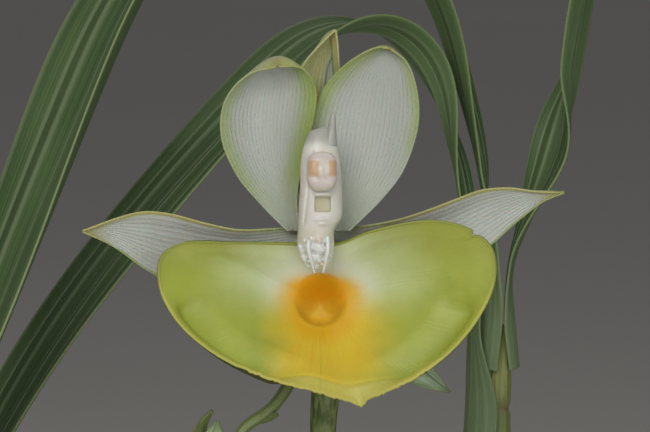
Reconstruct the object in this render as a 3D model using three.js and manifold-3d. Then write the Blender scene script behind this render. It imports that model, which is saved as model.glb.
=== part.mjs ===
// A potted Catasetum pileatum orchid with one open male flower and two buds, in millimetres, +Z up.
// The origin is the middle of the pot's underside, and the flower faces -Y, a little upwards.
import * as THREE from "three";
import { mergeVertices } from "three/addons/utils/BufferGeometryUtils.js";
import Module from "manifold-3d";

const wasm = await Module();
wasm.setup();

// Driving dimensions
const GAP = 0.35; // air left between pieces that touch
const pot = {
  height: 110,
  rimRadius: 60,
  collarHeight: 23,
  collarStep: 3.5,
  baseRadius: 42,
  wall: 5,
  floor: 7,
  edge: 1.4,
  sides: 36,
  drainRadius: 5,
  drainRing: 22,
  drainCount: 4,
};
const mix = { top: 95, dome: 2, chipCount: 62, chip: [13, 8.5, 5], chipCeiling: 101.5, seed: 7 };
const rhizome = { from: [-40, 3.2, 92.5], to: [33, 20, 93], radius: 4, corridor: 7.5 };
const bulbFoot = 97.4; // height of the underside of every pseudobulb
const leadAxis = { foot: [24, 18, bulbFoot], top: [31.6, 24.6, 214] };
const flowerPlace = { at: [-10, -122, 255], tiltDegrees: -8 };
const petalThickness = 0.8;
const lipThickness = 1.3;
const leafThickness = 0.8;

// Colours, roughness and metalness
const finishes = {
  clay: [0xb5653f, 0.9],
  bark: [0x6b4a30, 0.95],
  root: [0xcfcbb4, 0.8],
  bulb: [0x7f9152, 0.6],
  drySheath: [0xb7a27c, 0.85],
  leaf: [0x55793a, 0.5],
  stem: [0x4f5f2c, 0.5],
  sepal: [0xc3cba8, 0.45],
  petal: [0xc6ccc0, 0.45],
  lip: [0xa3b341, 0.35],
  column: [0xcdc9bb, 0.3],
  anther: [0xd9c49c, 0.35],
  bud: [0xa9c29a, 0.45],
};

const part = new THREE.Group();
const flower = new THREE.Group();
flower.position.set(...flowerPlace.at);
flower.rotation.x = THREE.MathUtils.degToRad(flowerPlace.tiltDegrees);
flower.updateMatrix();
part.add(flower);

function addPiece(parent, name, geometry, finish) {
  const [color, roughness] = finishes[finish];
  const mesh = new THREE.Mesh(geometry, new THREE.MeshStandardMaterial({ color, roughness, metalness: 0 }));
  mesh.name = name;
  parent.add(mesh);
}

// Small helpers
const vector = (p) => new THREE.Vector3(...p);
const radians = THREE.MathUtils.degToRad;
const smoothCurve = (points) => new THREE.CatmullRomCurve3(points.map(vector), false, "centripetal");
const atFlower = (x, y, z) => new THREE.Vector3(x, y, z).applyMatrix4(flower.matrix).toArray();

// A value read from a short list of [place, value] pairs, eased from each pair to the next.
function eased(pairs, at) {
  const next = pairs.findIndex(([place]) => place >= at);
  if (next === -1) return pairs[pairs.length - 1][1];
  if (next === 0) return pairs[0][1];
  const [[a, from], [b, to]] = [pairs[next - 1], pairs[next]];
  return from + (to - from) * THREE.MathUtils.smoothstep(at, a, b);
}

// A value read from a short list of [place, value] pairs, on a smooth curve through them.
function through(pairs, at) {
  const places = pairs.map(([place]) => place);
  const last = pairs.length - 1;
  const k = Math.min(Math.max(places.findIndex((place) => place > at) - 1, 0), last - 1);
  const start = at >= places[last] ? last - 1 : k;
  const slope = (i) => {
    const [a, b] = [Math.max(i - 1, 0), Math.min(i + 1, last)];
    return (pairs[b][1] - pairs[a][1]) / (places[b] - places[a]);
  };
  const span = places[start + 1] - places[start];
  const t = THREE.MathUtils.clamp((at - places[start]) / span, 0, 1);
  const [p, q] = [pairs[start][1], pairs[start + 1][1]];
  const [m, n] = [slope(start) * span, slope(start + 1) * span];
  return (2 * t ** 3 - 3 * t ** 2 + 1) * p + (t ** 3 - 2 * t ** 2 + t) * m + (3 * t ** 2 - 2 * t ** 3) * q + (t ** 3 - t ** 2) * n;
}

// The same numbers on each run, from 0 to 1.
function seededRandom(seed) {
  let state = seed;
  return () => {
    state = (state * 16807) % 2147483647;
    return state / 2147483647;
  };
}

function geometryOf(points, index) {
  const geometry = new THREE.BufferGeometry();
  geometry.setAttribute("position", new THREE.Float32BufferAttribute(points.flatMap((p) => p.toArray()), 3));
  geometry.setIndex(index);
  return geometry;
}

// Solids for cutting and joining
function solidOf(geometry) {
  const bare = geometry.clone();
  bare.deleteAttribute("normal");
  bare.deleteAttribute("uv");
  const merged = mergeVertices(bare, 1e-4);
  const mesh = new wasm.Mesh({
    numProp: 3,
    vertProperties: merged.attributes.position.array,
    triVerts: new Uint32Array(merged.index.array),
  });
  return new wasm.Manifold(mesh);
}

// The largest body of a solid, so that no loose scrap of a cut is kept.
function geometryOfSolid(solid) {
  const body = solid.decompose().sort((a, b) => b.volume() - a.volume())[0];
  const mesh = body.getMesh();
  const points = [];
  for (let i = 0; i < mesh.numVert; i += 1) {
    points.push(new THREE.Vector3(...mesh.vertProperties.subarray(i * mesh.numProp, i * mesh.numProp + 3)));
  }
  return geometryOf(points, [...mesh.triVerts]);
}

const joined = (geometries) => geometries.map(solidOf).reduce((all, next) => all.add(next));

// A closed solid over a stack of rings of points, with a fan at each end.
function skinRings(rings) {
  const sides = rings[0].length;
  const points = rings.flat();
  const index = [];
  for (let i = 0; i < rings.length - 1; i += 1) {
    for (let j = 0; j < sides; j += 1) {
      const [a, b] = [i * sides + j, i * sides + ((j + 1) % sides)];
      index.push(a, b, b + sides, a, b + sides, a + sides);
    }
  }
  const middle = (ring) => ring.reduce((sum, p) => sum.add(p), new THREE.Vector3()).divideScalar(sides);
  points.push(middle(rings[0]), middle(rings[rings.length - 1]));
  const [first, last] = [points.length - 2, points.length - 1];
  const top = (rings.length - 1) * sides;
  for (let j = 0; j < sides; j += 1) {
    const k = (j + 1) % sides;
    index.push(first, k, j, last, top + j, top + k);
  }
  return geometryOf(points, index);
}

// A round stem along a curve, whose radius follows a list of [share of length, radius] pairs.
function taperedStem(path, radii, rings, sides) {
  const curve = path instanceof THREE.Curve ? path : smoothCurve(path);
  const frames = curve.computeFrenetFrames(rings, false);
  const made = [];
  for (let i = 0; i <= rings; i += 1) {
    const centre = curve.getPointAt(i / rings);
    const radius = through(radii, i / rings);
    const ring = [];
    for (let j = 0; j < sides; j += 1) {
      const turn = (2 * Math.PI * j) / sides;
      const out = frames.normals[i].clone().multiplyScalar(Math.cos(turn));
      out.addScaledVector(frames.binormals[i], Math.sin(turn));
      ring.push(centre.clone().addScaledVector(out, radius));
    }
    made.push(ring);
  }
  return skinRings(made);
}

// The way a grid of points faces at one of them. A grid of whole rings wraps from its last column to its first.
function gridNormal(grid, i, j, wraps) {
  const [rows, columns] = [grid.length, grid[0].length];
  const column = (k) => (wraps ? (k + columns) % columns : THREE.MathUtils.clamp(k, 0, columns - 1));
  const across = grid[i][column(j + 1)].clone().sub(grid[i][column(j - 1)]);
  const along = grid[Math.min(i + 1, rows - 1)][j].clone().sub(grid[Math.max(i - 1, 0)][j]);
  return across.cross(along).normalize();
}

// A closed thin shell on a grid of points. Both faces are split into the same triangles. With a pole, the grid is a
// dish of whole rings around that point, and with wraps alone it is a sleeve.
function thinShell(grid, thickness, { wraps = false, pole = null } = {}) {
  const [rows, columns] = [grid.length, grid[0].length];
  const normals = grid.map((row, i) => row.map((_, j) => gridNormal(grid, i, j, wraps)));
  const face = (side) => grid.flatMap((row, i) => row.map((p, j) => p.clone().addScaledVector(normals[i][j], (side * thickness) / 2)));
  const points = [...face(1), ...face(-1)];
  const size = rows * columns;
  const index = [];
  const twoFaces = (a, b, c) => index.push(a, b, c, a + size, c + size, b + size);
  const spans = wraps ? columns : columns - 1;
  for (let i = 0; i < rows - 1; i += 1) {
    for (let j = 0; j < spans; j += 1) {
      const [a, b] = [i * columns + j, i * columns + ((j + 1) % columns)];
      twoFaces(a, b, b + columns);
      twoFaces(a, b + columns, a + columns);
    }
  }
  const rim = (loop) => loop.forEach((p, k) => {
    const q = loop[(k + 1) % loop.length];
    index.push(q, p, p + size, q, p + size, q + size);
  });
  const row = (i) => Array.from({ length: columns }, (_, j) => i * columns + j);
  if (pole) {
    const poleNormal = normals[0].reduce((sum, n) => sum.add(n.clone()), new THREE.Vector3()).normalize();
    points.push(pole.clone().addScaledVector(poleNormal, thickness / 2), pole.clone().addScaledVector(poleNormal, -thickness / 2));
    for (let j = 0; j < columns; j += 1) {
      const k = (j + 1) % columns;
      index.push(2 * size, k, j, 2 * size + 1, size + j, size + k);
    }
    rim(row(rows - 1).reverse());
  } else if (wraps) {
    rim(row(0));
    rim(row(rows - 1).reverse());
  } else {
    const down = Array.from({ length: rows - 2 }, (_, i) => (i + 1) * columns);
    rim([...row(0), ...down.map((k) => k + columns - 1), ...row(rows - 1).reverse(), ...down.reverse()]);
  }
  return geometryOf(points, index);
}

// Pot: thrown clay with a collar, and drain holes round a solid middle
function potWallRadius(height) {
  const collarFoot = pot.height - pot.collarHeight;
  const wallTop = pot.rimRadius - 1 - pot.collarStep;
  return THREE.MathUtils.mapLinear(height, 0, collarFoot, pot.baseRadius, wallTop);
}

function potInnerRadius(height) {
  const floorRadius = pot.baseRadius - pot.wall;
  return THREE.MathUtils.mapLinear(height, pot.floor, pot.height, floorRadius, pot.rimRadius - pot.wall);
}

function makePot() {
  const collarFoot = pot.height - pot.collarHeight;
  const profile = [
    [0, 0],
    [pot.baseRadius - pot.edge, 0],
    [potWallRadius(pot.edge), pot.edge],
    [potWallRadius(collarFoot), collarFoot],
    [pot.rimRadius - 1, collarFoot + pot.edge],
    [pot.rimRadius, pot.height - pot.edge],
    [pot.rimRadius - pot.edge, pot.height],
    [potInnerRadius(pot.height) + 0.8, pot.height],
    [potInnerRadius(pot.height - pot.edge), pot.height - pot.edge],
    [potInnerRadius(pot.floor), pot.floor],
    [0, pot.floor],
  ];
  const turned = new THREE.LatheGeometry(profile.map(([r, h]) => new THREE.Vector2(r, h)), pot.sides).rotateX(Math.PI / 2);
  let solid = solidOf(turned);
  for (let k = 0; k < pot.drainCount; k += 1) {
    const turn = ((k + 0.5) * 2 * Math.PI) / pot.drainCount;
    const drill = new THREE.CylinderGeometry(pot.drainRadius, pot.drainRadius, 4 * pot.floor, 12).rotateX(Math.PI / 2);
    drill.translate(pot.drainRing * Math.cos(turn), pot.drainRing * Math.sin(turn), 0);
    solid = solid.subtract(solidOf(drill));
  }
  addPiece(part, "pot", geometryOfSolid(solid), "clay");
}

// Pseudobulbs: swollen stems with rings where leaves have grown
const bulbs = {
  lead: {
    axis: leadAxis,
    profile: [[0, 5], [0.04, 9.5], [0.12, 12.6], [0.27, 14.5], [0.44, 12.4], [0.6, 7.9], [0.7, 5.2], [0.8, 3.7], [0.92, 2.9], [1, 1.4]],
    rings: 18,
    internodes: 6,
    grooves: 0.015,
  },
  second: {
    axis: { foot: [-10, 12, bulbFoot], top: [-14, 20, 184] },
    profile: [[0, 5], [0.06, 9.5], [0.18, 13], [0.38, 14.2], [0.62, 11.8], [0.82, 7.4], [0.95, 4], [1, 2.2]],
    rings: 14,
    internodes: 6,
    grooves: 0.045,
  },
  third: {
    axis: { foot: [-37.6, 4, bulbFoot], top: [-44, 6, 168] },
    profile: [[0, 4.5], [0.06, 8], [0.2, 10.6], [0.42, 11.4], [0.66, 9.2], [0.84, 6], [0.96, 3.4], [1, 2]],
    rings: 13,
    internodes: 5,
    grooves: 0.06,
  },
};
const bulbSides = 14;

const alongBulb = (bulb, share) => vector(bulb.axis.foot).lerp(vector(bulb.axis.top), share);

const bulbRadius = (bulb, share) => through(bulb.profile, share);

function bulbRing(bulb, share, grow) {
  const centre = alongBulb(bulb, share);
  return Array.from({ length: bulbSides }, (_, j) => {
    const turn = (2 * Math.PI * j) / bulbSides;
    const radius = (bulbRadius(bulb, share) + grow) * (1 + bulb.grooves * Math.cos(7 * turn));
    return new THREE.Vector3(centre.x + radius * Math.cos(turn), centre.y + radius * Math.sin(turn), centre.z);
  });
}

function makeBulb(name) {
  const bulb = bulbs[name];
  const rings = Array.from({ length: bulb.rings + 1 }, (_, i) => {
    const node = Math.abs(Math.cos((Math.PI * bulb.internodes * i) / bulb.rings)) ** 12;
    return bulbRing(bulb, i / bulb.rings, -0.45 * node);
  });
  addPiece(part, `pseudobulb_${name}`, skinRings(rings), "bulb");
}

// Dry sheaths: papery sleeves with torn upper edges
const drySheaths = {
  lead: { from: 0.045, to: 0.1, torn: 0.05 },
  second: { from: 0.07, to: 0.56, torn: 0.16 },
  third: { from: 0.08, to: 0.5, torn: 0.18 },
};
const sheathThickness = 0.7;

function makeDrySheath(name) {
  const [bulb, sheath] = [bulbs[name], drySheaths[name]];
  const rows = 4;
  const grid = Array.from({ length: rows + 1 }, (_, i) => Array.from({ length: bulbSides }, (_unused, j) => {
    const turn = (2 * Math.PI * j) / bulbSides;
    const tear = sheath.torn * (0.5 + 0.3 * Math.sin(3 * turn + 1) + 0.35 * Math.sin(5 * turn));
    const share = THREE.MathUtils.lerp(sheath.from, sheath.to + tear, i / rows);
    return bulbRing(bulb, share, GAP + sheathThickness / 2 + 0.55 + 0.6 * (i / rows) ** 3)[j];
  }));
  addPiece(part, `dry_sheath_${name}`, thinShell(grid, sheathThickness, { wraps: true }), "drySheath");
}

// Rhizome: the creeping stem that joins the pseudobulbs, with roots that run out over the bark
const roots = [
  { at: 0.08, side: -1, reach: 31, turn: -14 },
  { at: 0.1, side: 1, reach: 26, turn: -12 },
  { at: 0.28, side: -1, reach: 43, turn: 14 },
  { at: 0.42, side: 1, reach: 37, turn: -14 },
  { at: 0.62, side: -1, reach: 46, turn: -14 },
  { at: 0.94, side: -1, reach: 36, turn: 9 },
  { at: 0.86, side: 1, reach: 25, turn: -10 },
];
const rootRadius = 1.25;

// The first part climbs from the rhizome under the swelling of the pseudobulb, and the rest lies on the bark.
function rootPath(root) {
  const [from, to] = [vector(rhizome.from), vector(rhizome.to)];
  const start = from.clone().lerp(to, root.at);
  const along = to.clone().sub(from).setZ(0).normalize();
  const out = new THREE.Vector3(-along.y, along.x, 0).multiplyScalar(root.side);
  const lying = mix.chipCeiling + rootRadius + 0.5;
  const place = (reach, height, turn) => {
    const heading = out.clone().applyAxisAngle(new THREE.Vector3(0, 0, 1), radians(turn));
    return start.clone().addScaledVector(heading, reach).setZ(height).toArray();
  };
  return {
    climbing: [place(1.5, start.z, 0), place(6, start.z + 2, 0), place(10.5, 96.8, 0), place(14.5, 100.2, 0), place(18.5, lying + 0.6, root.turn * 0.1)],
    lying: [
      place(root.reach * 0.72, lying, root.turn * 0.5),
      place(root.reach * 0.88, lying + 0.4, root.turn),
      place(root.reach, lying - 0.1, root.turn * 1.4),
    ],
  };
}

function rootStrand(root) {
  const { climbing, lying } = rootPath(root);
  return taperedStem([...climbing, ...lying], [[0, rootRadius], [0.8, rootRadius], [1, 0.6]], 11, 6);
}

function makeRhizome() {
  const body = taperedStem(
    new THREE.LineCurve3(vector(rhizome.from), vector(rhizome.to)),
    [[0, 2], [0.08, rhizome.radius], [0.9, rhizome.radius], [1, 1.6]],
    8,
    10,
  );
  addPiece(part, "rhizome_with_roots", geometryOfSolid(joined([body, ...roots.map(rootStrand)])), "root");
}

// Potting mix: bark chips over a filled pot, with plain holes where stems stand
function barkChip(random, reach, turn) {
  const size = mix.chip.map((length) => length * (0.75 + 0.5 * random()));
  const chip = new THREE.BoxGeometry(...size);
  const position = chip.attributes.position;
  for (let i = 0; i < position.count; i += 1) {
    const taper = position.getZ(i) > 0 ? 0.78 : 1;
    position.setXYZ(i, position.getX(i) * taper, position.getY(i) * taper, position.getZ(i));
  }
  chip.rotateX(radians(40 * (random() - 0.5)));
  chip.rotateY(radians(26 * (random() - 0.5)));
  chip.rotateZ(2 * Math.PI * random());
  chip.translate(reach * Math.cos(turn), reach * Math.sin(turn), 0);
  chip.computeBoundingBox();
  const height = mix.chipCeiling - 3 * random() - chip.boundingBox.max.z;
  return chip.translate(0, 0, height);
}

function makePottingMix() {
  const lowest = pot.floor + GAP;
  const edgeRadius = (height) => potInnerRadius(height) - GAP - 0.3;
  const profile = [
    [0, lowest],
    [edgeRadius(lowest) - 0.2, lowest],
    [edgeRadius(mix.top) - 0.2, mix.top],
    [edgeRadius(mix.top) * 0.6, mix.top + mix.dome],
    [0, mix.top + mix.dome],
  ];
  const filling = new THREE.LatheGeometry(profile.map(([r, h]) => new THREE.Vector2(r, h)), pot.sides).rotateX(Math.PI / 2);
  const random = seededRandom(mix.seed);
  const goldenTurn = Math.PI * (3 - Math.sqrt(5));
  const outermost = edgeRadius(mix.top) - mix.chip[0] * 0.45;
  const chips = Array.from({ length: mix.chipCount }, (_, k) => {
    const reach = outermost * Math.sqrt((k + 0.6) / mix.chipCount);
    return barkChip(random, reach, k * goldenTurn);
  });
  const [from, to] = [vector(rhizome.from), vector(rhizome.to)];
  const depth = 60;
  const foot = rhizome.from[2] - rhizome.radius - 1;
  const corridor = new THREE.BoxGeometry(from.distanceTo(to), 2 * rhizome.corridor, depth);
  corridor.rotateZ(Math.atan2(to.y - from.y, to.x - from.x));
  corridor.translate((from.x + to.x) / 2, (from.y + to.y) / 2, foot + depth / 2);
  const wells = [
    [from.x, from.y, rhizome.corridor],
    [to.x, to.y, rhizome.corridor],
    [bulbs.lead.axis.foot[0], bulbs.lead.axis.foot[1], 12.5],
    [bulbs.second.axis.foot[0], bulbs.second.axis.foot[1], 12.5],
    [bulbs.third.axis.foot[0], bulbs.third.axis.foot[1], 10.5],
    [spike.foot[0], spike.foot[1] - 3, 5.5],
  ].map(([x, y, radius]) => new THREE.CylinderGeometry(radius, radius, depth, 14).rotateX(Math.PI / 2).translate(x, y, foot + depth / 2));
  const channels = roots.map((root) => taperedStem(rootPath(root).climbing, [[0, rootRadius + 1], [1, rootRadius + 1]], 6, 6));
  const inside = new THREE.CylinderGeometry(edgeRadius(pot.height), edgeRadius(pot.floor), pot.height - pot.floor, pot.sides);
  const potSpace = solidOf(inside.rotateX(Math.PI / 2).translate(0, 0, (pot.height + pot.floor) / 2));
  const solid = joined([filling, ...chips]).intersect(potSpace).subtract(joined([corridor, ...wells, ...channels]));
  addPiece(part, "potting_mix", geometryOfSolid(solid), "bark");
}

// Leaves: pleated blades in two ranks, each clasping the stem of the leading pseudobulb with its foot.
// foot is the height where it clasps the stem, and wrap how far it reaches round the stem to either side. heading is
// its bearing from +X and lean its slope from upright, in degrees, at distances along the midrib.
const leaves = [
  { foot: 184, wrap: 62, clasp: 30, length: 310, width: 20, heading: [[0, 206.5], [1, 212.8]], lean: [[0, -4], [16, -2], [40, 5.1], [76, 17.4], [137, 130], [310, 158]], twist: [[0, 0], [30, 0], [60, -60], [95, 10.9], [140, -7.4]] },
  { foot: 204, wrap: 54, clasp: 24, length: 240, width: 32, heading: [[0, -2.8]], lean: [[0, -6], [14, -6], [32, 24], [80, 9], [150, 34], [240, 112]], twist: [[0, 0], [24, 0], [50, 38], [72, -5], [98, -1], [240, 2]] },
  { foot: 204, wrap: 54, clasp: 24, length: 370, width: 36, heading: [[0, 209.4], [90, 218.8], [210, 225.6]], lean: [[0, -7], [12, -6], [26, 3.7], [61, 19.8], [208.9, 149.4], [370, 155.5]], twist: [[0, 0], [24, 0], [48, -48.3], [88.4, -33], [190, 19.1]] },
  { foot: 146, wrap: 66, clasp: 28, length: 236, width: 38, heading: [[0, -14]], lean: [[0, 0], [12, 8], [34, 60], [64, 96], [140, 142], [236, 152]], twist: [[0, 0], [236, 14]] },
  { foot: 136, wrap: 66, clasp: 28, length: 226, width: 37, heading: [[0, 214]], lean: [[0, 0], [12, 8], [34, 62], [62, 98], [140, 146], [226, 154]], twist: [[0, 0], [226, -16]] },
  { foot: 122, wrap: 66, clasp: 28, length: 180, width: 33, heading: [[0, 20]], lean: [[0, 4], [12, 10], [34, 60], [62, 100], [110, 140], [180, 150]], twist: [[0, 0], [180, 18]] },
];
// Shares of a leaf's length against its half width and the ways its section bends.
const leafShape = {
  halfWidth: [[0, 0.3], [0.1, 0.22], [0.2, 0.42], [0.36, 0.84], [0.5, 1], [0.7, 0.86], [0.88, 0.42], [1, 0.03]],
  keelDegrees: [[0, 0], [0.08, 8], [0.16, 24], [0.3, 18], [0.5, 12], [1, 18]],
  pleatDegrees: [[0, 0], [0.1, 3], [0.25, 15], [0.8, 15], [1, 4]],
};
const leafRows = 18;
const leafHalfColumns = 3;

function leafGrid(leaf) {
  const bulb = bulbs.lead;
  const share = THREE.MathUtils.mapLinear(leaf.foot, bulb.axis.foot[2], bulb.axis.top[2], 0, 1);
  const outwardAt = (at) => {
    const heading = radians(eased(leaf.heading, at));
    return new THREE.Vector3(Math.cos(heading), Math.sin(heading), 0);
  };
  const claspRadius = (bulbRadius(bulb, share) + GAP + leafThickness) * 1.05 + 0.3;
  const place = alongBulb(bulb, share).addScaledVector(outwardAt(0), claspRadius);
  const direction = (at) => {
    const lean = radians(eased(leaf.lean, at));
    return outwardAt(at).multiplyScalar(Math.sin(lean)).setZ(Math.cos(lean));
  };
  const distance = (i) => leaf.length * (i / leafRows) ** 1.35;
  const steps = 16;
  const grid = [];
  for (let i = 0; i <= leafRows; i += 1) {
    const at = distance(i);
    const t = at / leaf.length;
    const forward = direction(at);
    const twist = radians(eased(leaf.twist, at));
    const outward = outwardAt(at);
    const rise = forward.dot(outward);
    const up = outward.multiplyScalar(-forward.z).setZ(rise).applyAxisAngle(forward, twist);
    const side = forward.clone().cross(up);
    const clasping = 1 - THREE.MathUtils.smoothstep(at, leaf.clasp * 0.3, leaf.clasp);
    const wrap = radians(leaf.wrap) * clasping;
    const blade = (leaf.width / 2) * Math.max(through(leafShape.halfWidth, t), 0.03);
    const halfWidth = THREE.MathUtils.lerp(blade, claspRadius * radians(leaf.wrap), clasping);
    const bends = [wrap, radians(through(leafShape.keelDegrees, t)), radians(through(leafShape.pleatDegrees, t))];
    grid.push(pleatedSection(place, side, up, halfWidth, bends));
    const step = (distance(i + 1) - at) / steps;
    for (let k = 0; k < steps; k += 1) place.addScaledVector(direction(at + (k + 0.5) * step), step);
  }
  return grid;
}

// Points across a blade from its left edge to its right, bent by a curl, a keel at the midrib and pleats.
function pleatedSection(middle, side, up, halfWidth, [curl, keel, pleat]) {
  const width = halfWidth / leafHalfColumns;
  const half = (sign) => {
    const point = middle.clone();
    return Array.from({ length: leafHalfColumns }, (_, k) => {
      const bend = (curl * (k + 0.5)) / leafHalfColumns + keel + (k % 2 === 0 ? pleat : -pleat);
      point.addScaledVector(side, sign * width * Math.cos(bend)).addScaledVector(up, width * Math.sin(bend));
      return point.clone();
    });
  };
  return [...half(-1).reverse(), middle.clone(), ...half(1)];
}

function makeLeaves() {
  leaves.forEach((leaf, k) => addPiece(part, `leaf_${k + 1}`, thinShell(leafGrid(leaf), leafThickness), "leaf"));
}

// Flower spike: it leaves the foot of the leading pseudobulb, arches over behind the flower and hangs to the left
const spike = {
  foot: [21.5, 8.5, 97.2],
  radii: [[0, 2.1], [0.15, 2.3], [0.6, 1.8], [0.8, 1.35], [1, 0.9]],
};
const spikePath = [
  spike.foot,
  [20.6, 1.5, 106],
  [14, -24, 138],
  [3, -58, 181],
  atFlower(1.2, 50, -42),
  atFlower(2.8, 46, -19),
  atFlower(3.2, 38, -5),
  atFlower(1.5, 27.5, -7.5),
  atFlower(-2, 20, -20),
  atFlower(-8, 16, -30.6),
  atFlower(-14.2, 14.8, -35.6),
  atFlower(-16.4, 15.4, -42),
  atFlower(-17.6, 15, -50),
  atFlower(-20, 12.5, -57),
];
const ovaryPath = [atFlower(0, 2.3, 0.6), atFlower(0, 6, -0.4), atFlower(0.6, 16, -2.6), atFlower(2.2, 29, -6)];
const smallBud = { base: [12.5, 21.4, -21.5], tip: [24.6, 20, -28.6], radius: 2.7 };
const largeBud = { base: [-20.3, 9.2, -48], tip: [-18.4, 8.6, -33.1], radius: 4.3 };
const budStalks = [
  [atFlower(-1.2, 21.5, -17), atFlower(4, 22.5, -16.5), atFlower(9, 22, -19.2), atFlower(12.1, 21.5, -21.3)],
  [atFlower(-17.2, 15, -48), atFlower(-19.4, 12.6, -51.6), atFlower(-20.8, 10.2, -51.4), atFlower(-20.4, 9.3, -48.5)],
];
// Each bract is a pointed scale along a path in the flower's frame.
const bracts = [
  { path: [[1.6, 28.5, -8.5], [4.6, 27.6, -11.5], [6.5, 25, -17.5]], width: 3.6 },
  { path: [[-1.6, 21, -17.5], [-5, 22.6, -18.4], [-6.9, 22.5, -22.5]], width: 3 },
  { path: [[-11.6, 15.4, -33.4], [-9.8, 15, -32.9], [-7.4, 14.2, -32.4]], width: 1.8 },
  { path: [[-17.4, 15.4, -47], [-22.4, 15, -40], [-21.4, 13.6, -34.4], [-19.5, 12.4, -31.5]], width: 3 },
];
const sleeves = [
  { from: 0.1, to: 0.2, flare: 0.8 },
  { from: 0.34, to: 0.43, flare: 0.75 },
  { from: 0.57, to: 0.63, flare: 0.65 },
];

function bractGeometry({ path, width }) {
  const curve = smoothCurve(path.map((p) => atFlower(...p)));
  const halfWidths = [0.35, 0.5, 0.46, 0.3, 0.06];
  const grid = halfWidths.map((half, i) => {
    const t = i / (halfWidths.length - 1);
    const along = curve.getTangentAt(t);
    const side = along.clone().cross(new THREE.Vector3(0, 1, 0)).normalize();
    const out = side.clone().cross(along);
    const edge = half * width;
    return [-1, 0, 1].map((w) => curve.getPointAt(t).addScaledVector(side, w * edge).addScaledVector(out, Math.abs(w) * edge * 0.4));
  });
  return thinShell(grid, 0.7);
}

function sleeveGeometry(curve, { from, to, flare }) {
  const piece = Array.from({ length: 5 }, (_, k) => curve.getPointAt(THREE.MathUtils.lerp(from, to, k / 4)).toArray());
  const stem = (share) => through(spike.radii, share);
  return taperedStem(piece, [[0, stem(from) + 0.1], [0.3, stem(from) + 0.5], [1, stem(to) + flare]], 4, 8);
}

function makeSpike() {
  const curve = smoothCurve(spikePath);
  const pieces = [
    taperedStem(curve, spike.radii, 34, 8),
    taperedStem(ovaryPath, [[0, 2.1], [0.3, 1.9], [1, 1.4]], 7, 8),
    ...budStalks.map((path) => taperedStem(path, [[0, 1], [1, 0.9]], 5, 6)),
    ...bracts.map(bractGeometry),
    ...sleeves.map((sleeve) => sleeveGeometry(curve, sleeve)),
  ];
  addPiece(part, "flower_spike", geometryOfSolid(joined(pieces)), "stem");
}

// Buds: three closed sepals, so the section is a rounded triangle
function budGeometry({ base, tip, radius }) {
  const [start, end] = [vector(base), vector(tip)];
  const along = end.clone().sub(start);
  const side = along.clone().cross(new THREE.Vector3(0, 1, 0)).normalize();
  const out = along.clone().cross(side).normalize();
  const girth = [[0, 0.3], [0.08, 0.72], [0.3, 1], [0.55, 0.88], [0.8, 0.5], [0.94, 0.2], [1, 0.07]];
  const [rings, sides] = [9, 12];
  return skinRings(Array.from({ length: rings + 1 }, (_, i) => Array.from({ length: sides }, (_unused, j) => {
    const turn = (2 * Math.PI * j) / sides;
    const reach = radius * through(girth, i / rings) * (1 + 0.09 * Math.cos(3 * turn));
    const point = start.clone().addScaledVector(along, i / rings);
    return point.addScaledVector(side, reach * Math.cos(turn)).addScaledVector(out, reach * Math.sin(turn));
  })));
}

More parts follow.
